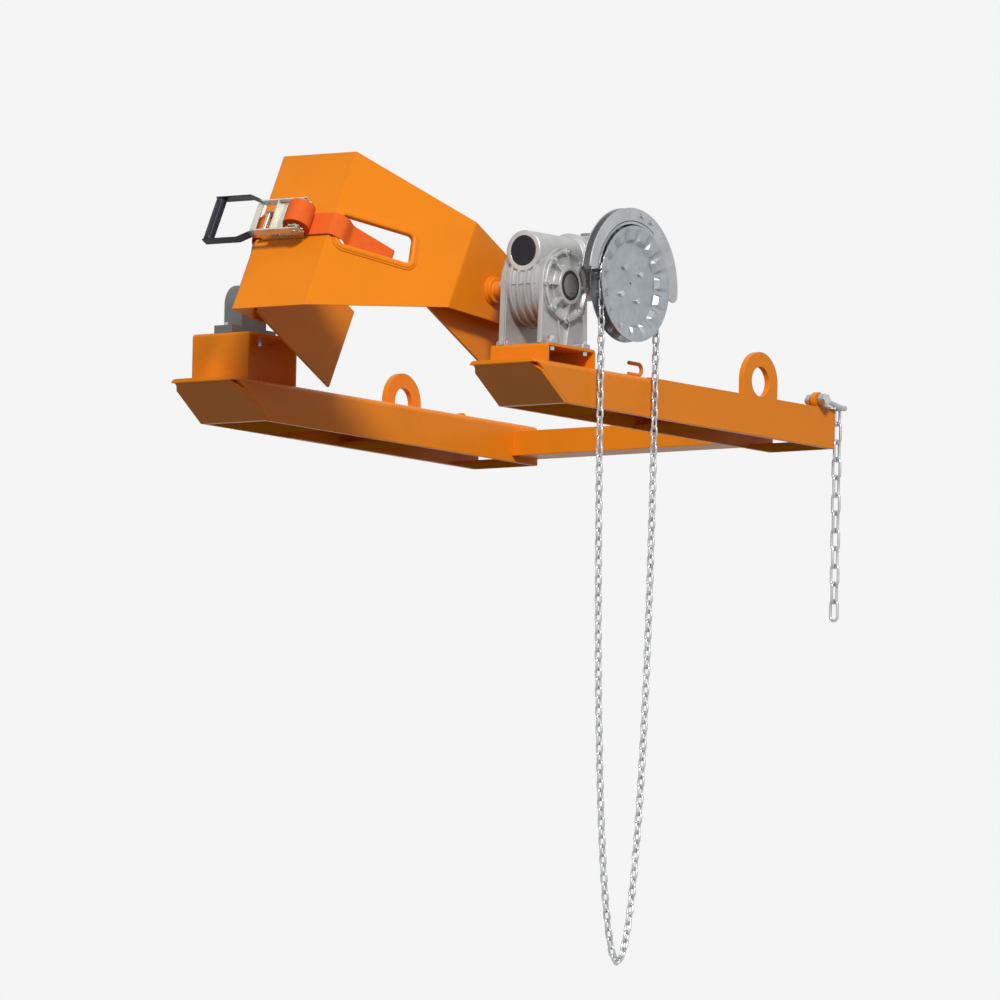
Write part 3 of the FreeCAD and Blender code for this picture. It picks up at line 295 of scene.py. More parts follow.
ORANGE = rgb(0.84, 0.240, 0.009)
BARE_STEEL = rgb(0.30, 0.29, 0.28)
# Colour of the handle bars' dark end and the X where it starts: a painted dark reflection.
DARK_REFLECTION = rgb(0.016, 0.018, 0.028)
DARK_REFLECTION_EDGE = -0.066
BOSS_PAINT_EDGE = 0.3175

orange = finish("orange_paint", paint(ORANGE))
# A darker, matt copy of the orange for the pocket floors, which face down: painted shade.
painted_shade_orange = finish("dull_underside", paint(shade(ORANGE, 0.9), gloss=0.0))
# The slight blue tint of these zinc colours is a painted sky reflection.
zinc = finish("zinc_plate", metal(rgb(0.46, 0.475, 0.49), rough=0.34, metallic=0.85, cell=140.0))
bright_zinc = finish("zinc_chain", metal(rgb(0.56, 0.575, 0.59), rough=0.28, metallic=0.85))
# The wheel discs' zinc is darker than the plate zinc: painted shade.
disc_zinc_painted_shade = finish("zinc_disc", metal(rgb(0.38, 0.41, 0.44), rough=0.34, metallic=0.85, cell=90.0))
yellow_zinc = finish("yellow_zinc", metal(rgb(0.56, 0.48, 0.33), rough=0.34))
strap_zinc = finish("ratchet_zinc", metal(rgb(0.68, 0.66, 0.58), rough=0.28))
steel = finish("bare_steel", metal(BARE_STEEL, rough=0.34, metallic=0.9))
machined = finish("machined_face", metal(grey(0.58), rough=0.30, metallic=0.85))
alloy = finish("cast_aluminium", cast(rgb(0.50, 0.50, 0.495), rough=0.38, metallic=0.4))
iron = finish("cast_iron", cast(rgb(0.16, 0.16, 0.165), rough=0.58))
bronze = finish("bronze", metal(rgb(0.46, 0.27, 0.11), rough=0.40, metallic=0.85))
black = finish("black_cap", plain(rgb(0.016, 0.017, 0.026), rough=0.42, gloss=0.25))
rubber = finish("seal_rubber", plain(rgb(0.012, 0.012, 0.013), rough=0.62))
webbing = finish("webbing", woven(rgb(0.95, 0.150, 0.020)))
grip = finish("handle_grip", plain(rgb(0.014, 0.016, 0.026), rough=0.36, gloss=0.28))
# The handle bars' dark end towards the grip is a painted dark reflection.
handle_bars = finish("handle_bars", dark_reflection_end(rgb(0.66, 0.64, 0.57), DARK_REFLECTION, DARK_REFLECTION_EDGE, rough=0.30))
boss = finish("painted_boss", painted_boss(ORANGE, BARE_STEEL, BOSS_PAINT_EDGE))

SLOT_FINISH = {"orange_paint": orange, "zinc_plate": zinc, "bare_steel": steel,
               "cast_aluminium": alloy, "cast_iron": iron, "bronze": bronze, "black_cap": black,
               "seal_rubber": rubber, "webbing": webbing, "handle_grip": grip}


# Surfaces, in millimetres: (points, quads, caps)

def unit(vectors):
    """Vectors scaled to length one."""
    vectors = np.asarray(vectors, float)
    return vectors / np.linalg.norm(vectors, axis=-1, keepdims=True)


def lengths(path):
    """Length along a path at each of its points."""
    return np.r_[0.0, np.cumsum(np.linalg.norm(np.diff(path, axis=0), axis=1))]


def grid(rows, columns, wrap_rows, wrap_columns):
    """Quads of a rows x columns grid of points, joined across an end where it wraps."""
    r = np.arange(rows if wrap_rows else rows - 1)[:, None]
    c = np.arange(columns if wrap_columns else columns - 1)[None, :]
    r2, c2 = (r + 1) % rows, (c + 1) % columns
    corners = [r * columns + c, r2 * columns + c, r2 * columns + c2, r * columns + c2]
    return np.stack([np.broadcast_to(k, (r.size, c.size)).ravel() for k in corners], 1)


def end_caps(rows, columns):
    """The first and the last row of a grid as faces."""
    return [np.arange(columns), (rows - 1) * columns + np.arange(columns)[::-1]]


def seat(points, origin, axes):
    """Points given along the three rows of axes, moved to origin."""
    return np.asarray(origin, float) + np.asarray(points, float) @ axes


def join(*parts):
    """Several parts as one, each part's point numbers moved on past the last."""
    points, quads, caps, start = [], [], [], 0
    for p, q, c in parts:
        points.append(p)
        quads.append(q + start)
        caps += [np.asarray(cap) + start for cap in c]
        start += len(p)
    return np.concatenate(points), np.concatenate(quads), caps


def whole_turn(count):
    """Angles spread evenly once round."""
    return np.linspace(0.0, FULL_TURN, count, endpoint=False)


def polar(radius, turn):
    """Points at a radius and an angle: (r cos t, r sin t)."""
    return np.stack([radius * np.cos(turn), radius * np.sin(turn)], -1)


def round_axis(radius, turn, along):
    """Points for every angle and every profile point: (r cos t, r sin t, along)."""
    flat = polar(radius, turn[:, None])
    return np.c_[flat.reshape(-1, 2), np.broadcast_to(along, flat.shape[:2]).ravel()]


def turned(profile, origin, axes, steps, start=0.0, end=360.0):
    """A closed profile of (radius, along) carried round an axis."""
    profile = np.asarray(profile, float)
    full = end - start == 360.0
    turn = np.radians(np.linspace(start, end, steps + 1))[: steps if full else steps + 1]
    n, m = len(turn), len(profile)
    local = round_axis(profile[:, 0], turn, profile[:, 1])
    return seat(local, origin, axes), grid(n, m, full, True), [] if full else end_caps(n, m)


def swept(path, across, section, closed=False):
    """A section of (across, out) carried along a path; out is tangent x across."""
    path, section = np.asarray(path, float), np.asarray(section, float)
    if closed:
        tangent = np.roll(path, -1, 0) - np.roll(path, 1, 0)
    else:
        tangent = np.gradient(path, axis=0)
    tangent = unit(tangent)
    across = np.broadcast_to(np.asarray(across, float), path.shape)
    across = unit(across - (across * tangent).sum(-1, keepdims=True) * tangent)
    out = np.cross(tangent, across)
    points = path[:, None] + section[None, :, :1] * across[:, None] + section[None, :, 1:] * out[:, None]
    n, m = len(path), len(section)
    return points.reshape(-1, 3), grid(n, m, closed, True), [] if closed else end_caps(n, m)


def plate(outline, low, high, origin, axes, round_off=0.0, steps=3):
    """An outline of (first, second) extruded along the third axis, its rims drawn in by round_off."""
    outline = np.asarray(outline, float)
    after = np.roll(outline, -1, 0)
    tangent = unit(after - np.roll(outline, 1, 0))
    normal = np.stack([tangent[:, 1], -tangent[:, 0]], 1)
    side = np.sign(np.sum(outline[:, 0] * after[:, 1] - outline[:, 1] * after[:, 0]))
    if round_off:
        bend = np.linspace(0.0, QUARTER_TURN, steps + 1)
        inset = round_off * (1.0 - np.sin(bend))
        rise = round_off * (1.0 - np.cos(bend))
        inset, level = np.r_[inset, inset[::-1]], np.r_[low + rise, (high - rise)[::-1]]
    else:
        inset, level = np.zeros(2), np.array([low, high])
    flat = outline[None] - side * inset[:, None, None] * normal[None]
    local = np.concatenate([flat, np.broadcast_to(level[:, None, None], flat.shape[:2] + (1,))], -1)
    n, m = len(level), len(outline)
    return seat(local.reshape(-1, 3), origin, axes), grid(n, m, False, True), end_caps(n, m)


def arc(centre, radius, start, end, steps):
    """Points on a circle round a centre, from one angle to another in degrees."""
    return centre + polar(radius, np.radians(np.linspace(start, end, steps)))


def band(inner, outer, low, high):
    """The four corners of a ring's section: two radii and two distances along its axis."""
    return [(inner, low), (outer, low), (outer, high), (inner, high)]


def rounded_box(half_wide, half_high, corner, steps=6):
    """Outline of a rectangle with round corners, anticlockwise."""
    w, h = half_wide - corner, half_high - corner
    centres = ((w, h), (-w, h), (-w, -h), (w, -h))
    return np.concatenate([arc(c, corner, 90 * k, 90 * k + 90, steps) for k, c in enumerate(centres)])


def oval(half_wide, half_high, power=2.0, count=20):
    """Outline |x/a|^p + |y/b|^p = 1."""
    circle = polar(1.0, whole_turn(count))
    return np.array([half_wide, half_high]) * np.sign(circle) * np.abs(circle) ** (2.0 / power)


def curves(before, here, after, radius, most, steps):
    """Every corner as a quadratic curve, which takes up at most a given share of the runs beside it."""
    span = np.minimum(np.linalg.norm(before - here, axis=1), np.linalg.norm(after - here, axis=1))
    cut = np.minimum(radius, most * span)[:, None]
    a, b = here + cut * unit(before - here), here + cut * unit(after - here)
    t = np.linspace(0.0, 1.0, steps)[:, None]
    curve = (1 - t) ** 2 * a[:, None] + 2 * t * (1 - t) * here[:, None] + t ** 2 * b[:, None]
    return curve.reshape(-1, here.shape[1])


def rounded_path(corners, radius, steps, spacing, most=0.48, nearest=1e-6):
    """A polyline with its corners turned into curves, then spaced evenly."""
    corners = np.asarray(corners, float)
    middle = curves(corners[:-2], corners[1:-1], corners[2:], radius, most, steps)
    line = np.concatenate([corners[:1], middle, corners[-1:]])
    step = np.linalg.norm(np.diff(line, axis=0), axis=1)
    line = line[np.r_[True, step > nearest]]
    length = lengths(line)
    even = np.linspace(0.0, length[-1], max(2, int(length[-1] / spacing)))
    even = np.unique(np.r_[even, length])
    return np.stack([np.interp(even, length, line[:, k]) for k in range(line.shape[1])], 1)


def ring_round(profile, radius, steps=4, most=0.45):
    """A closed profile with every corner turned into a small curve."""
    profile = np.asarray(profile, float)
    return curves(np.roll(profile, 1, 0), profile, np.roll(profile, -1, 0), radius, most, steps)


def repeated(part, origins, frames):
    """One part, about its own origin, placed at every origin with every frame's rows as its axes."""
    points, quads, caps = part
    origins, frames = np.asarray(origins, float), np.asarray(frames, float)
    placed = origins[:, None] + np.einsum("pk,nkd->npd", points, frames)
    shift = len(points) * np.arange(len(origins))
    all_quads = (quads[None] + shift[:, None, None]).reshape(-1, 4)
    all_caps = [np.asarray(cap) + s for s in shift for cap in caps]
    return placed.reshape(-1, 3), all_quads, all_caps


# Pieces: merging distances in metres, angles between faces in degrees

MERGE = 1e-6
COLLAPSE = 1e-7
FLAT_WITHIN = 0.5
CREASE = 35.0
SQUARE_EDGE, SLANTED_EDGE, FOLD = 70.0, 30.0, 18.0


def add(name, data):
    """A new object in the scene."""
    obj = bpy.data.objects.new(name, data)
    bpy.context.scene.collection.objects.link(obj)
    return obj


def show(name, mesh, material, body, stands_for, sharp=CREASE):
    """A mesh, smooth up to an angle, as an object that rides on a body and stands for CAD nodes."""
    mesh.shade_smooth()
    mesh.set_sharp_from_angle(angle=math.radians(sharp))
    mesh.materials.clear()
    mesh.materials.append(material)
    obj = add(name, mesh)
    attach(obj, body)
    if stands_for:
        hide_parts(*stands_for)
    return obj


def piece(name, part, material, body, stands_for=(), sharp=CREASE, uv=None):
    """A new surface as an object: doubles merged, faces outward."""
    points, quads, caps = part
    mesh = bpy.data.meshes.new(name)
    mesh.from_pydata((points * MM).tolist(), [], quads.tolist() + [cap.tolist() for cap in caps])
    if uv is not None:
        layer = mesh.uv_layers.new(name="weave")
        corner = np.zeros(len(mesh.loops), dtype=np.int32)
        mesh.loops.foreach_get("vertex_index", corner)
        layer.data.foreach_set("uv", (uv[corner] * MM).astype(np.float32).ravel())
    shape = bmesh.new()
    shape.from_mesh(mesh)
    bmesh.ops.remove_doubles(shape, verts=shape.verts, dist=MERGE)
    bmesh.ops.dissolve_degenerate(shape, edges=shape.edges, dist=COLLAPSE)
    bmesh.ops.recalc_face_normals(shape, faces=shape.faces)
    shape.to_mesh(mesh)
    shape.free()
    return show(name, mesh, material, body, stands_for, sharp)


def instead(node, name, part, material, sharp, uv=None):
    """A new surface that stands for one CAD node, on its body."""
    return piece(name, part, material, body_of[node], (node,), sharp, uv)


def softened(node, edge, bend=0.0, material=None):
    """A merged copy of a CAD node with its sharp edges rounded off, bends more than edges."""
    shape = bmesh.new()
    shape.from_mesh(nodes[node].data)
    bmesh.ops.remove_doubles(shape, verts=shape.verts, dist=MERGE)
    bmesh.ops.dissolve_limit(shape, angle_limit=math.radians(FLAT_WITHIN), verts=shape.verts,
                            edges=shape.edges)
    bmesh.ops.recalc_face_normals(shape, faces=shape.faces)
    width = max(edge, bend)
    weight = shape.edges.layers.float.new("bevel_weight_edge")
    for line in shape.edges:
        turn = math.degrees(line.calc_face_angle(0.0))
        if turn > SQUARE_EDGE or (turn > SLANTED_EDGE and not bend):
            line[weight] = edge / width
        elif turn > FOLD and bend:
            line[weight] = bend / width
    name = node + "_shape"
    mesh = bpy.data.meshes.new(name)
    shape.to_mesh(mesh)
    shape.free()
    old = mesh.attributes.get("custom_normal")
    if old:
        mesh.attributes.remove(old)
    slot = slot_of[node]
    obj = show(name, mesh, material or SLOT_FINISH[slot], body_of[node], (node,))
    rounding = obj.modifiers.new("rounding", "BEVEL")
    rounding.width = width * MM
    rounding.segments = 3 if bend else 2
    rounding.limit_method = "WEIGHT"
    rounding.use_clamp_overlap = False
    rounding.harden_normals = True


for name, obj in nodes.items():
    obj.data.materials.clear()
    obj.data.materials.append(SLOT_FINISH[slot_of[name]])


# Arms, stands and collar: CAD shapes with rounded edges

PLATE_EDGE = 0.9
SHAFT_EDGE = 1.2
SHELL_EDGE, SHELL_BEND = 1.0, 4.5

for end in ("_near", "_far"):
    for name in ("pocket_channel", "nose_plate", "lug_plate", "guide_plate"):
        softened(name + end, PLATE_EDGE)
    # The pocket floors take the darker orange: painted shade.
    softened("pocket_floor" + end, PLATE_EDGE, material=painted_shade_orange)
    softened("stub_shaft" + end, SHAFT_EDGE, material=boss)
for name in ("cross_tube", "gearbox_stand", "bearing_stand"):
    softened(name, PLATE_EDGE)
softened("collar_shell", SHELL_EDGE, SHELL_BEND)


# Hand chain and securing chain

HAND_WIRE = 5.0
SECURING_WIRE = 6.0


def loose_parts(node):
    """Centre, principal axes (long, wide, thin) and size of every separate solid of a CAD node.

    Points joined by edges share the lowest label among them, and each label is one solid.
    """
    mesh = nodes[node].data
    points = np.zeros(3 * len(mesh.vertices), dtype=np.float32)
    mesh.vertices.foreach_get("co", points)
    points = points.reshape(-1, 3).astype(float) / MM
    _, first = np.unique(np.round(points, 3), axis=0, return_inverse=True)
    first = first.ravel()
    edges = np.zeros(2 * len(mesh.edges), dtype=np.int32)
    mesh.edges.foreach_get("vertices", edges)
    ends = first[edges.reshape(-1, 2)]
    label = np.arange(first.max() + 1)
    while True:
        fresh = label.copy()
        np.minimum.at(fresh, ends, label[ends].min(1, keepdims=True))
        fresh = fresh[fresh]
        if np.array_equal(fresh, label):
            break
        label = fresh
    part_of = np.unique(label[first], return_inverse=True)[1].ravel()
    solids = []
    for k in range(part_of.max() + 1):
        own = points[part_of == k]
        spread = own - own.mean(0)
        axes = np.linalg.eigh(spread.T @ spread)[1].T[::-1]
        axes[2] = np.cross(axes[0], axes[1])
        along = own @ axes.T
        low, high = along.min(0), along.max(0)
        solids.append(((low + high) / 2.0 @ axes, axes, high - low))
    return [np.array(column) for column in zip(*solids)]


def chain_link(long, wide, wire, bend_steps, wire_steps):
    """A round wire carried round a stadium: two straight runs and two half circles."""
    radius = wide / 2.0 - wire / 2.0
    half = long / 2.0 - wire / 2.0 - radius
    path = np.concatenate([arc((half, 0.0), radius, -90, 90, bend_steps),
                           arc((-half, 0.0), radius, 90, 270, bend_steps)])
    path = np.c_[path, np.zeros(len(path))]
    return swept(path, (0.0, 0.0, 1.0), oval(wire / 2.0, wire / 2.0, count=wire_steps), closed=True)


def chain_links(node, wire, bend_steps, wire_steps):
    """A wire link at the place and along the axes of every link of a CAD chain."""
    centre, axes, size = loose_parts(node)
    long, wide = np.median(size[:, :2], axis=0)
    link = chain_link(long, wide, wire, bend_steps, wire_steps)
    instead(node, node + "_links", repeated(link, centre, axes), bright_zinc, sharp=80.0)
    return centre, axes


hand_links = chain_links("hand_chain", HAND_WIRE, bend_steps=5, wire_steps=7)
chain_links("securing_chain", SECURING_WIRE, bend_steps=9, wire_steps=12)


# Chain wheel

POCKETS = 16
POCKET_HALF, POCKET_STEEPNESS = 7.8, 8
HELD_WITHIN = 100.0
HELD_ABOVE = 10.0
LIES_FLAT = 0.7
FRONT_BORE, BACK_BORE = 3.5, 9.2
DISC_FLAT, DISC_FLAT_ROWS = 80.0, 9
DISC_TURN_STEP = 0.75
# Rows of points by radius: from, to and how many, close together where the pockets step down.
DISC_ROWS = ((81.0, 93.0, 19), (94.0, 112.0, 15), (113.0, 115.9, 3))
# Offset from the groove plane by radius: between the pockets, at a pocket, and the sheet's thickness.
DISC_SLOPE = np.array([(0.0, 2.1), (83.5, 2.1), (112.0, 15.0), (116.0, 15.05)])
DISC_STEP = np.array([(0.0, 2.1), (82.0, 2.1), (88.0, 11.3), (110.0, 15.0), (116.0, 15.05)])
DISC_SHEET = np.array([(0.0, 1.95), (DISC_FLAT, 1.95), (86.0, 1.9), (116.0, 1.9)])


def pocket_place(centre, axes):
    """Angle of a chain pocket: the mean place, within one pocket's pitch, of the flat links on the wheel."""
    arm = centre - WHEEL
    flat = np.abs(axes[:, 1, 0]) > LIES_FLAT
    held = flat & (arm[:, 2] > HELD_ABOVE) & (np.hypot(arm[:, 1], arm[:, 2]) < HELD_WITHIN)
    return np.angle(np.exp(1j * POCKETS * np.arctan2(arm[held, 2], arm[held, 1])).mean()) / POCKETS


def pressed_disc(side, bore, pocket_turn):
    """A dished disc with chain pockets pressed into its sloping wall.

    Flat inside, then a slope to the edge. At each pocket a smooth bump moves the slope out to a steep
    step, where a flat link finds room. The back is the same surface, one sheet's thickness away.
    """
    rows = [np.linspace(bore, DISC_FLAT, DISC_FLAT_ROWS)] + [np.linspace(*run) for run in DISC_ROWS]
    radius = np.concatenate(rows)
    turn = np.radians(np.arange(0.0, 360.0, DISC_TURN_STEP))
    slope = np.interp(radius, *DISC_SLOPE.T)
    step = np.interp(radius, *DISC_STEP.T)
    phase = np.degrees(np.angle(np.exp(1j * POCKETS * (turn - pocket_turn)))) / POCKETS
    pocket = np.exp(-(phase / POCKET_HALF) ** POCKET_STEEPNESS)[:, None]
    outer = slope + (step - slope) * pocket
    back = outer - np.interp(radius, *DISC_SHEET.T)
    shape = np.broadcast_to(radius[None], outer.shape)
    r = np.concatenate([shape, shape[:, ::-1]], 1)
    offset = side * np.concatenate([outer, back[:, ::-1]], 1)
    return seat(round_axis(r, turn, offset), WHEEL, ALONG_X), grid(*r.shape, True, True), []


pocket_turn = pocket_place(*hand_links)
for side, name, bore in ((1.0, "wheel_front_disc", FRONT_BORE), (-1.0, "wheel_back_disc", BACK_BORE)):
    instead(name, name + "_pressing", pressed_disc(side, bore, pocket_turn), disc_zinc_painted_shade, sharp=50.0)


# Strap and roll

STRAP_WIDTH = 50.0
STRAP_LEVEL = 60.0
STRAP_HALF_THICK = 1.2
STRAP_BEND = 7.0
STRAP_OFF_SHELL = 1.25
STRAP_CREASE = 50.0
# Slanted panel of the collar: its ridge, and its directions along and out, as (across, depth).
RIDGE = np.array([90.0, 349.0])
PANEL_ALONG = np.array([0.534, -0.845])
PANEL_OUT = np.array([0.845, 0.534])
# The strap on that panel, as (along, out): from the ridge to the slot, through it, and on inside.
STRAP_RUN = ((0.2, 5.2), (27.0, 5.2), (47.0, -13.7), (150.0, -29.7))
STRAP_START = np.array([REEL[0], 352.3])
STRAP_END = np.array([-65.0, 353.3])
ROLL_TURNS = 7
ROLL_INSIDE, ROLL_OUTSIDE = 10.5, 27.7
ROLL_HALF_THICK = 1.15
STEPS_PER_TURN = 40


def on_panel(along, out):
    """A point of the slanted panel's section: from the ridge along the panel, then out from it."""
    return RIDGE + along * PANEL_ALONG + out * PANEL_OUT


def strap_line():
    """Strap in the collar's cross section: up to the ridge, through one slot, across and back."""
    half = [on_panel(along, out) for along, out in STRAP_RUN]
    mirrored = [point * (-1.0, 1.0) for point in half[::-1]]
    line = rounded_path([STRAP_START] + half + mirrored + [STRAP_END], STRAP_BEND, steps=8, spacing=6.0)
    flow = unit(np.gradient(line, axis=0))
    return line + STRAP_OFF_SHELL * np.stack([-flow[:, 1], flow[:, 0]], 1)


def roll_line():
    """Spiral round the reel: the radius grows evenly with the angle."""
    turn = np.linspace(-QUARTER_TURN - FULL_TURN * ROLL_TURNS, -QUARTER_TURN, ROLL_TURNS * STEPS_PER_TURN)
    radius = np.linspace(ROLL_INSIDE, ROLL_OUTSIDE, len(turn))
    return REEL[:2] + polar(radius, turn)


def strap_piece(node, name, line, section):
    """Webbing along a line in the collar's cross section, and its length."""
    path = seat(np.c_[line, np.full(len(line), STRAP_LEVEL)], PIVOT, COLLAR)
    length = lengths(path)
    uv = np.stack(np.broadcast_arrays(length[:, None], section[None, :, 0]), -1).reshape(-1, 2)
    return instead(node, name, swept(path, COLLAR[2], section), webbing, STRAP_CREASE, uv), float(length[-1])


section = oval(STRAP_WIDTH / 2.0, STRAP_HALF_THICK, power=7.0, count=28)
strap, length = strap_piece("webbing", "strap", strap_line(), section)

section = oval(STRAP_WIDTH / 2.0, ROLL_HALF_THICK, power=6.0)
roll, length = strap_piece("web_roll", "rolled_strap", roll_line(), section)


# Slot rims and weld beads

SLOT_ALONG, SLOT_LEVEL = 96.0, 47.0
SLOT_TURN = math.radians(10.6)
# Half length, half height and corner of the rim's middle line.
RIM = np.array([83.5, 36.5, 15.5])
RIM_HALF_WIDE, RIM_HALF_DEEP = 8.0, 6.5
RIM_SUNK, RIM_SPACING = -3.0, 6.0
WELD_OUTSIDE_RIM, WELD_SPACING = 6.9, 1.6
WELD_HALF_WIDE, WELD_HALF_HIGH = 2.2, 2.6
WELD_OUT, WELD_RIPPLE = 0.4, 0.45
RIPPLE_TURN = 2.2
BOSS_FACE, BOSS_RADIUS, BOSS_POINTS = 242.2, 26.0, 110
BOSS_WELD_HALF, BOSS_RIPPLE = 2.6, 0.4
BEAD_CREASE = 60.0


def slot_ring(size, spacing, out, way):
    """A closed path round a strap slot, at a height out from the slanted panel."""
    ring = rounded_box(*size, steps=10)
    ring = rounded_path(np.concatenate([ring, ring[:1]]), 0.0, steps=2, spacing=spacing)[:-1]
    along = SLOT_ALONG + ring[:, 0] * math.cos(SLOT_TURN) + ring[:, 1] * math.sin(SLOT_TURN)
    level = SLOT_LEVEL - ring[:, 0] * math.sin(SLOT_TURN) + ring[:, 1] * math.cos(SLOT_TURN)
    flat = on_panel(along[:, None], np.reshape(out, (-1, 1)))
    return seat(np.c_[flat[:, 0] * way, flat[:, 1], level], PIVOT, COLLAR)


def ripple(count):
    """The ripples of a weld bead, point by point."""
    return np.sin(np.arange(count) * RIPPLE_TURN)


def slot_rim(out, way):
    """A bar of squarish oval section bent round a slot."""
    rim = slot_ring(RIM, RIM_SPACING, RIM_SUNK, way)
    return swept(rim, out, oval(RIM_HALF_WIDE, RIM_HALF_DEEP, power=3.2), closed=True)


def slot_weld(out, way):
    """A rippled bead along the outside of a slot rim."""
    size = RIM + WELD_OUTSIDE_RIM
    count = len(slot_ring(size, WELD_SPACING, 0.0, way))
    bead = slot_ring(size, WELD_SPACING, WELD_OUT + WELD_RIPPLE * ripple(count), way)
    return swept(bead, out, oval(WELD_HALF_WIDE, WELD_HALF_HIGH, count=8), closed=True)


def boss_weld(way):
    """A rippled bead round a stub shaft's boss, where it meets the collar."""
    face = way * (BOSS_FACE + BOSS_RIPPLE * ripple(BOSS_POINTS))
    loop = np.c_[face, polar(BOSS_RADIUS, whole_turn(BOSS_POINTS))]
    return swept(loop + PIVOT, (1.0, 0.0, 0.0), oval(BOSS_WELD_HALF, BOSS_WELD_HALF, count=8), closed=True)


for way, end in ((1.0, "_near"), (-1.0, "_far")):
    out = np.array([PANEL_OUT[0] * way, PANEL_OUT[1], 0.0]) @ COLLAR
    rim = "slot_rim" + end
    instead(rim, rim + "_bead", slot_rim(out, way), orange, sharp=BEAD_CREASE)
    piece(rim + "_weld", slot_weld(out, way), orange, "collar", sharp=BEAD_CREASE)
    piece("boss_weld" + end, boss_weld(way), orange, "collar", sharp=BEAD_CREASE)


# Chain guide: radii and angles round the wheel's axis, distances from its groove plane

GUIDE_END = 172.0
# Inner and outer radius, low and high along the axis, first angle.
GUIDE_RINGS = ((92.0, 127.0, -21.0, -18.0, 58.0), (124.0, 127.0, -18.0, 10.0, 58.0),
               (124.0, 152.0, -11.0, -8.0, 52.0))
FRONT_INNER, FRONT_OUTER = 119.0, 152.0
FRONT_LOW, FRONT_HIGH = 7.0, 10.0
FRONT_START = -4.0
TONGUE_TURN = 6.0
GUIDE_EDGE = 0.7
GUIDE_TURN_STEP = 2.5


def ring_plate(inner, outer, low, high, start):
    """A flat ring carried round the wheel's axis, its corners rounded, its ends closed."""
    profile = ring_round(band(inner, outer, low, high), GUIDE_EDGE)
    steps = int((GUIDE_END - start) / GUIDE_TURN_STEP)
    return turned(profile, WHEEL, ALONG_X, steps, start, GUIDE_END)


def front_ring():
    """Outline of the front ring: out along one arc, back along the other, a round tongue at its start."""
    bend = np.linspace(0.0, math.pi, 15)
    middle, half = (FRONT_OUTER + FRONT_INNER) / 2.0, (FRONT_OUTER - FRONT_INNER) / 2.0
    tongue = polar(middle - half * np.cos(bend), np.radians(FRONT_START - TONGUE_TURN * np.sin(bend)))
    turn = np.radians(np.linspace(FRONT_START, GUIDE_END, 72))
    return np.concatenate([polar(FRONT_OUTER, turn), polar(FRONT_INNER, turn[::-1]), tongue[1:-1]])


guide_parts = [ring_plate(*ring) for ring in GUIDE_RINGS]
guide_parts.append(plate(front_ring(), FRONT_LOW, FRONT_HIGH, WHEEL, ALONG_X, GUIDE_EDGE))
instead("chain_guide", "chain_guide_rings", join(*guide_parts), zinc, sharp=40.0)


# Chain hook

HOOK_RUN = 16.0


def hook_bar():
    """A round bar bent into a sideways U that fills the CAD hook's box."""
    low, high = box_of("chain_hook")
    radius = (high[0] - low[0]) / 2.0
    bend = (high[2] - low[2]) / 2.0 - radius
    middle = (low[2] + high[2]) / 2.0
    straight = np.array([low[1], low[1] + HOOK_RUN])
    upper = np.c_[straight, np.full(2, middle + bend)]
    lower = np.c_[straight[::-1], np.full(2, middle - bend)]
    turn = arc((high[1] - radius - bend, middle), bend, 90, -90, 15)
    line = np.concatenate([upper, turn, lower])
    line = np.c_[np.full(len(line), low[0] + radius), line]
    return swept(line, (1.0, 0.0, 0.0), oval(radius, radius, count=16))


instead("chain_hook", "chain_hook_bar", hook_bar(), orange, sharp=50.0)


# Gearbox casting, measured from the output axis

BARREL_RADIUS, BARREL_INSIDE, BARREL_HALF = 75.0, 40.0, 42.0
BARREL_RIBS = (-26.9, -9.0, 9.0, 26.9)
BARREL_RIB_RISE, BARREL_RIB_HALF = 6.8, 3.0
# Side plates: distances from the gearbox's middle plane.
PLATE_INSIDE, PLATE_OUTSIDE = 41.5, 46.0
RAISED_FROM, RAISED_TO = 41.0, 51.0
RAISED_THICK = 5.0
LEG_RIB_FROM, LEG_RIB_THICK = 44.0, 4.5
# Legs: half width at the feet and radius round the output axis, of the plate and of its raised edge.
PLATE_FOOT, PLATE_RADIUS = 79.0, 76.0
RAISED_FOOT, RAISED_RADIUS = 77.0, 74.0
FOOT_ACROSS, FOOT_ALONG = 54.0, 54.6
FOOT_PAD, FOOT_THICK = (14.0, 13.0, 4.0), 9.0
LEG_RIB = np.array([(9.0, FOOT_LEVEL + 0.5), (12.0, -105.0), (16.0, -85.0), (20.0, -62.0)])
ROUND_PAST_AXIS = 7.0
# Ring that the cover sits in: two radii, and two distances from the middle plane.
COVER_RING = (62.0, 73.0)
COVER_RING_FROM, COVER_RING_TO = 40.0, 50.0
# Neck below the worm tube and seam on the barrel's sides, as (across, up), with half their lengths.
NECK = np.array([(-46.0, 50.0), (46.0, 50.0), (38.0, 78.0), (-38.0, 78.0)])
SEAM = np.array([(74.5, -1.3), (78.0, -0.8), (78.0, 0.8), (74.5, 1.3)])
NECK_HALF, SEAM_HALF = 36.0, 32.0
# Worm tube, with the mouth's seat and the flange at its other end, as (radius, along).
WORM_TUBE = ((30.3, -71.5), (41.0, -71.5), (41.0, 72.0), (50.0, 75.5), (50.0, 84.0), (20.0, 84.0),
             (20.0, -68.5), (30.3, -68.5))
TUBE_MOUTH = ((30.4, -74.0), (39.6, -74.0), (41.0, -72.6), (41.0, -71.0), (30.4, -71.0))
CAST_CREASE = 38.0


def bumps(along, centres, half, steepness=6):
    """1 at each centre and 0 away from it, with steep smooth sides."""
    return np.exp(-((along[:, None] - np.asarray(centres)[None]) / half) ** steepness).sum(1)


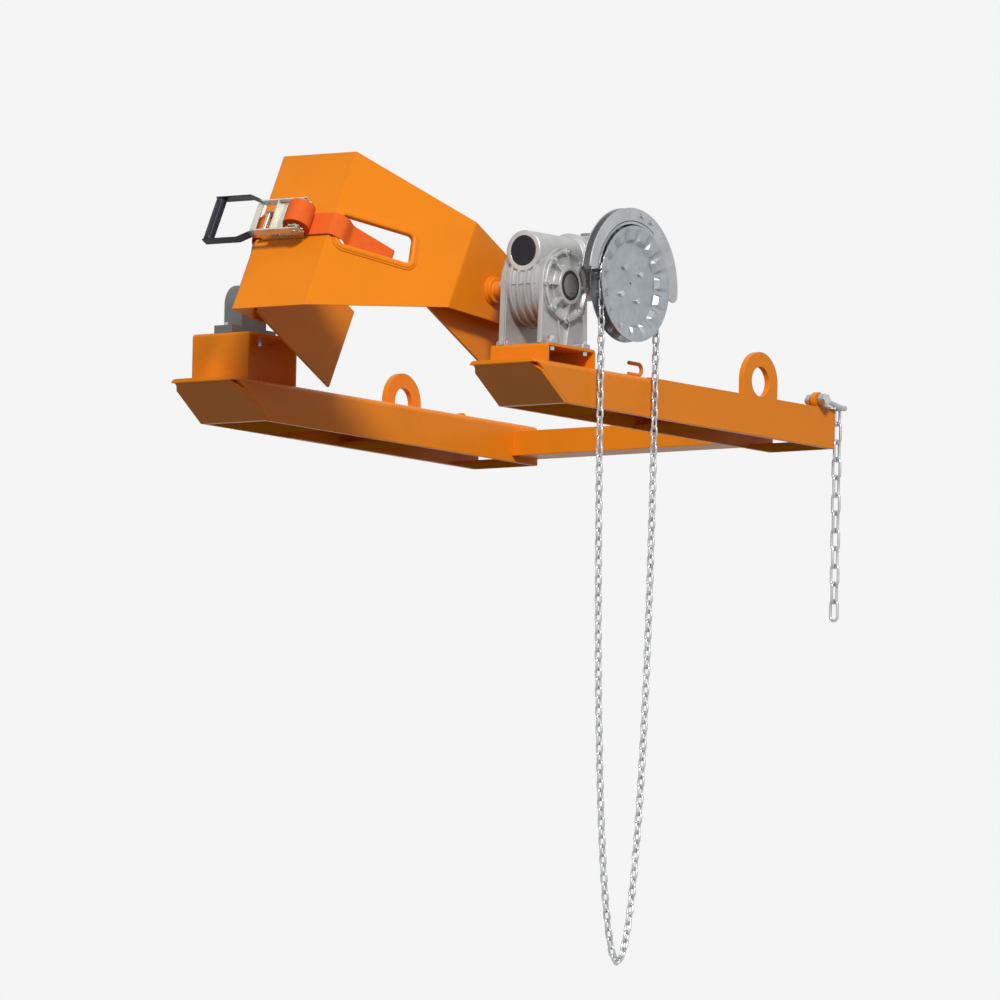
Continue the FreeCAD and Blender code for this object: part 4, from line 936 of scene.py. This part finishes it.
def wall(line, thick, low, high):
    """A thin wall that follows a line of (Y, Z) from the output axis and stands from low to high along X."""
    line = np.asarray(line, float)
    flow = unit(np.gradient(line, axis=0))
    side = np.stack([-flow[:, 1], flow[:, 0]], 1) * thick / 2.0
    outline = np.concatenate([line + side, (line - side)[::-1]])
    return plate(outline, low, high, GEAR, ALONG_X, round_off=0.9)


def keyhole(foot, radius):
    """Outline from one foot up round the output axis and down to the other foot."""
    round_top = arc((0.0, 0.0), radius, 180.0 + ROUND_PAST_AXIS, -ROUND_PAST_AXIS, steps=60)
    return np.concatenate([[(-foot, FOOT_LEVEL)], round_top, [(foot, FOOT_LEVEL)]])


def barrel():
    """A turned drum whose radius rises by a smooth bump at each rib."""
    along = np.linspace(-BARREL_HALF, BARREL_HALF, 127)
    radius = BARREL_RADIUS + BARREL_RIB_RISE * bumps(along, BARREL_RIBS, BARREL_RIB_HALF)
    ends = [[(BARREL_INSIDE, way * BARREL_HALF)] for way in (-1.0, 1.0)]
    return turned(np.concatenate([ends[0], np.c_[radius, along], ends[1]]), GEAR, ALONG_X, steps=120)


def side_plate(way):
    """Keyhole plate with a raised edge, a ring round the cover, and a rib and a foot on each leg."""
    flat = keyhole(PLATE_FOOT, PLATE_RADIUS)
    raised = keyhole(RAISED_FOOT, RAISED_RADIUS)
    ring = ring_round(band(*COVER_RING, way * COVER_RING_FROM, way * COVER_RING_TO), radius=1.5)
    parts = [plate(flat, way * PLATE_INSIDE, way * PLATE_OUTSIDE, GEAR, ALONG_X),
             wall(raised, RAISED_THICK, way * RAISED_FROM, way * RAISED_TO),
             turned(ring, GEAR, ALONG_X, steps=120)]
    for end in BOTH:
        parts.append(wall(LEG_RIB * (end, 1.0), LEG_RIB_THICK, way * LEG_RIB_FROM, way * RAISED_TO))
        foot = rounded_box(*FOOT_PAD) + (way * FOOT_ACROSS, end * FOOT_ALONG)
        parts.append(plate(foot, FOOT_LEVEL, FOOT_LEVEL + FOOT_THICK, GEAR, ALONG_Z, round_off=1.2))
    return parts


def gearbox_casting():
    """Ribbed barrel, two side plates, worm tube across the top with a neck below it, and a seam each side."""
    parts = [barrel(), *side_plate(1.0), *side_plate(-1.0)]
    parts.append(plate(NECK, -NECK_HALF, NECK_HALF, GEAR, ALONG_X))
    parts.append(turned(ring_round(WORM_TUBE, radius=1.5), WORM, ALONG_Y, steps=84))
    parts += [plate(SEAM * (end, 1.0), -SEAM_HALF, SEAM_HALF, GEAR, ALONG_X) for end in BOTH]
    return join(*parts)


# Output covers

COVER_BORE, COVER_EDGE, COVER_PLUG = 29.4, 71.5, 60.0
COVER_INSIDE, COVER_SEAT, COVER_RIM, HUB_TOP = 44.0, 50.0, 57.0, 65.0
COVER_RIBS = 8
COVER_RIB_HALF = 2.4
COVER_RIB = ((36.0, 48.0), (66.0, 51.0), (66.0, 56.6), (60.0, 58.5), (45.0, 61.5), (36.0, 64.2))
COVER_PROFILE = np.array([
    (COVER_BORE, COVER_INSIDE), (COVER_PLUG, COVER_INSIDE), (COVER_PLUG, COVER_SEAT),
    (COVER_EDGE, COVER_SEAT), (COVER_EDGE, COVER_RIM - 1.5), (COVER_EDGE - 2.0, COVER_RIM),
    (64.5, COVER_RIM), (61.5, 50.8), (42.0, 49.2), (39.4, 51.0), (37.4, HUB_TOP - 1.0),
    (36.0, HUB_TOP), (COVER_BORE + 1.2, HUB_TOP), (COVER_BORE, HUB_TOP - 1.0)])
LUG_CIRCLE, LUG_RADIUS, LUG_BORE, LUG_TOP = 67.0, 9.0, 1.0, 58.0


def output_cover(way):
    """Turned cover: raised edge, sunk web, hub; radial ribs and bolt bosses evenly round it."""
    cover = ring_round(COVER_PROFILE, radius=0.8) * (1.0, way)
    radial = np.c_[np.zeros(COVER_RIBS), polar(1.0, whole_turn(COVER_RIBS))]
    out = np.broadcast_to([way, 0.0, 0.0], (COVER_RIBS, 3))
    rows = np.stack([radial, out, np.cross(radial, out)], 1)
    origins = np.broadcast_to(GEAR, (COVER_RIBS, 3))
    rib = plate(COVER_RIB, -COVER_RIB_HALF, COVER_RIB_HALF, (0.0, 0.0, 0.0), ALONG_Z)
    lug = ring_round(band(LUG_BORE, LUG_RADIUS, COVER_SEAT, LUG_TOP), radius=1.2)
    lug = turned(lug, (LUG_CIRCLE, 0.0, 0.0), X_THEN_Z, steps=24)
    return join(turned(cover, GEAR, ALONG_X, steps=96), repeated(rib, origins, rows),
                repeated(lug, origins, rows))


# First stage casting, behind the chain wheel

CASE_RADIUS, CASE_INSIDE, CASE_BORE = 50.0, 40.2, 26.4
CASE_HALF, CASE_FLOOR = 36.0, -28.0
INPUT_BORE = 21.1
# Outer radius, low and high along the axis, first and last angle. The middle run is open to the case above.
INPUT_TUBES = ((30.0, -48.0, -34.0, 0.0, 360.0), (30.0, 34.0, 48.0, 0.0, 360.0),
               (29.4, -35.5, 35.5, -200.0, 20.0))
WEB_NEAR, WEB_FAR = 24.0, 30.0
WEB_FOOT = ((8.0, -0.5), (36.0, -0.5))
WEB_IN_CASE = 3.0
PAD, PAD_LOW, PAD_HIGH = (16.0, 16.0, 2.0), 44.0, 53.0


def first_stage_casting():
    """Round wheel case, worm tube across below it, a web at each corner between them, and a pad on top."""
    case = [(CASE_RADIUS, -CASE_HALF), (CASE_RADIUS, CASE_HALF), (CASE_INSIDE, CASE_HALF),
            (CASE_INSIDE, CASE_FLOOR), (CASE_BORE, CASE_FLOOR), (CASE_BORE, -CASE_HALF)]
    parts = [turned(ring_round(case, radius=1.5), FIRST_CASE, ALONG_Y, steps=108)]
    for radius, low, high, start, end in INPUT_TUBES:
        tube = ring_round(band(INPUT_BORE, radius, low, high), radius=1.2)
        parts.append(turned(tube, FIRST_WORM, ALONG_X, steps=96, start=start, end=end))
    case_height = FIRST_CASE[2] - FIRST_WORM[2]
    under_case = arc((0.0, case_height), CASE_RADIUS - WEB_IN_CASE, start=-40.0, end=-80.2, steps=8)
    web = np.concatenate([WEB_FOOT, under_case])
    for way in BOTH:
        for end in BOTH:
            parts.append(plate(web * (way, 1.0), end * WEB_NEAR, end * WEB_FAR, FIRST_WORM, X_THEN_Z))
    parts.append(plate(rounded_box(*PAD), PAD_LOW, PAD_HIGH, FIRST_CASE, ALONG_Z, round_off=1.0))
    return join(*parts)


CASTINGS = (("gearbox_housing", "gearbox_casting", gearbox_casting()),
            ("output_cover_outer", "output_cover_near", output_cover(1.0)),
            ("output_cover_inner", "output_cover_far", output_cover(-1.0)),
            ("first_housing", "first_stage_casting", first_stage_casting()))
for node, name, part in CASTINGS:
    instead(node, name, part, alloy, CAST_CREASE)
mouth = turned(ring_round(TUBE_MOUTH, radius=0.6), WORM, ALONG_Y, steps=84)
piece("worm_tube_mouth", mouth, machined, "frame")


# Smaller castings, ratchet and fasteners: CAD shapes with rounded edges, by width of edge and finish

EDGES = ((1.2, None, ("input_adapter", "first_cover")),
         (0.8, None, ("bearing_block", "worm_cap", "guide_bracket")),
         (0.4, strap_zinc, ("ratchet_frame", "drive_pawl", "lock_pawl")),
         (0.4, yellow_zinc, ("ratchet_reel",)),
         (0.5, handle_bars, ("ratchet_handle",)),
         (0.5, bright_zinc, ("cover_bolts", "wheel_bolts", "foot_bolts", "guide_screws", "adapter_bolts",
                             "shackle_pin")))

for edge, material, names in EDGES:
    for name in names:
        softened(name, edge, material=material)


# Handle: grip and spring bar, placed in the collar frame

GRIP_PLACE = (-173.0, 388.0, STRAP_LEVEL)
GRIP_RADIUS, GRIP_HALF = 10.5, 48.0
GRIP_END, GRIP_END_DROP = 3.0, 2.0
FLUTES, FLUTE_DEPTH, FLUTE_WIDTH = 12, 0.9, 0.30
FLUTE_FROM_END, FLUTE_STEPS = 4.0, 16
SPRING_BAR = (7.0, 33.3, 2.0)
SPRING_ACROSS = -70.0
SPRING_LOW, SPRING_HIGH = 386.5, 389.5


def fluted_grip():
    """A round grip: the radius falls by a smooth groove at each flute and to a rounded end at both ends."""
    bend = GRIP_END * (1.0 - np.cos(np.linspace(0.0, QUARTER_TURN, 5)))
    straight = GRIP_HALF - 2.0 * GRIP_END
    along = np.concatenate([bend - GRIP_HALF, np.linspace(-straight, straight, 9), GRIP_HALF - bend[::-1]])
    from_end = GRIP_HALF - np.abs(along)
    near_end = 1.0 - np.clip(from_end / GRIP_END, 0.0, 1.0)
    body = GRIP_RADIUS - GRIP_END_DROP * (1.0 - np.sqrt(1.0 - near_end ** 2))
    turn = whole_turn(FLUTE_STEPS * FLUTES)
    groove = FLUTE_DEPTH * np.exp(-(np.sin(FLUTES * turn / 2.0) / FLUTE_WIDTH) ** 2)[:, None]
    inside = np.clip((from_end - FLUTE_FROM_END) / GRIP_END, 0.0, 1.0)[None]
    r = body[None] - groove * inside
    n, m = r.shape
    ends = m * np.arange(n)
    points = seat(round_axis(r, turn, along) + GRIP_PLACE, PIVOT, COLLAR)
    return points, grid(n, m, True, False), [ends, ends[::-1] + m - 1]


instead("handle_grip", "fluted_grip", fluted_grip(), grip, sharp=40.0)
bar = rounded_box(*SPRING_BAR) + (SPRING_ACROSS, STRAP_LEVEL)
bar = plate(bar, SPRING_LOW, SPRING_HIGH, PIVOT, ACROSS_THEN_LEVEL, round_off=0.6)
piece("handle_spring_bar", bar, strap_zinc, "handle")


# Stage, in metres: camera at the photo's viewing angle, pale floor, one soft sun and an even sky

PICTURE_RIGHT = unit([0.8131, 0.5818, 0.0191])
PICTURE_UP = np.array([0.0454, -0.0961, 0.9943])
AIM = np.array([0.116, -0.691, -0.227])
CAMERA_DISTANCE, SEEN_TO = 44.44, 300.0
LENS, SENSOR = 800.0, 36.0
FLOOR_MIDDLE = np.array([0.0, -0.6, -1.9])
FLOOR_AHEAD, FLOOR_BEHIND, FLOOR_SIDE = 5.5, 40.0, 30.0
SUN_FROM = unit([0.56, -0.62, 0.55])
SUN_STRENGTH, SUN_SIZE, SUN_COLOUR = 2.68, 0.16, (1.0, 0.985, 0.96)
SKY_LIGHT, SKY_SEEN = rgb(0.32, 0.324, 0.333), grey(0.913)


def turned_to(right, up, back):
    """A turn with these three directions as its columns."""
    return Matrix(np.stack([right, up, back], 1).tolist()).to_4x4()


def seen_rays(g):
    """1 for rays that show the background itself: to the camera, in gloss and through glass."""
    camera, gloss, glass = (g.node("ShaderNodeLightPath", out="Is %s Ray" % kind)
                            for kind in ("Camera", "Glossy", "Transmission"))
    return camera.most(gloss).most(glass)


def pale(g):
    """Pale where it is seen, dim as a light on the part, and clear from below."""
    cloud = g.noise(scale=0.8, detail=3.0)
    dim = g.mix(cloud, grey(0.16), grey(0.18))
    white = g.mix(cloud, grey(0.95), grey(0.98))
    below = g.node("ShaderNodeNewGeometry", out="Backfacing")
    return {"Base Color": g.mix(seen_rays(g), dim, white), "Roughness": 0.9, "Specular IOR Level": 0.0,
            "Alpha": 1.0 - below}


def place_camera():
    """Sets the camera and returns the direction from the part to it."""
    up = unit(PICTURE_UP - PICTURE_RIGHT * (PICTURE_UP @ PICTURE_RIGHT))
    back = np.cross(PICTURE_RIGHT, up)
    lens = bpy.data.cameras.new("camera")
    lens.lens, lens.sensor_width, lens.clip_end = LENS, SENSOR, SEEN_TO
    camera = add("camera", lens)
    place = Matrix.Translation((AIM + CAMERA_DISTANCE * back).tolist())
    camera.matrix_world = place @ turned_to(PICTURE_RIGHT, up, back)
    bpy.context.scene.camera = camera
    return back


def lay_floor(toward_camera):
    """A flat rectangle, square to the camera, that reaches far behind the part and a little ahead of it."""
    ahead = unit([toward_camera[0], toward_camera[1], 0.0])
    aside = FLOOR_SIDE * np.array([-ahead[1], ahead[0], 0.0])
    near, far = FLOOR_MIDDLE + FLOOR_AHEAD * ahead, FLOOR_MIDDLE - FLOOR_BEHIND * ahead
    corners = np.array([far + aside, far - aside, near - aside, near + aside])
    mesh = bpy.data.meshes.new("floor")
    mesh.from_pydata(corners.tolist(), [], [(0, 1, 2, 3)])
    mesh.materials.append(finish("pale_floor", pale))
    add("floor", mesh)


def hang_sun():
    """One sun with soft shadows."""
    sun = bpy.data.lights.new("sun", "SUN")
    sun.energy, sun.angle, sun.color = SUN_STRENGTH, SUN_SIZE, SUN_COLOUR
    side = unit(np.cross([0.0, 0.0, 1.0], SUN_FROM))
    add("sun", sun).matrix_world = turned_to(side, np.cross(SUN_FROM, side), SUN_FROM)


def spread_sky():
    """An even sky: one tone lights the part, and a paler one is seen."""
    world = bpy.data.worlds.new("sky")
    world.use_nodes = True
    bpy.context.scene.world = world
    g = Graph(world.node_tree)
    tone = g.mix(seen_rays(g), SKY_LIGHT, SKY_SEEN)
    light = g.node("ShaderNodeBackground", None, {"Color": tone, "Strength": 1.0})
    g.node("ShaderNodeOutputWorld", None, {"Surface": light})


lay_floor(place_camera())
hang_sun()
spread_sky()
bpy.context.scene.view_settings.view_transform = "Standard"
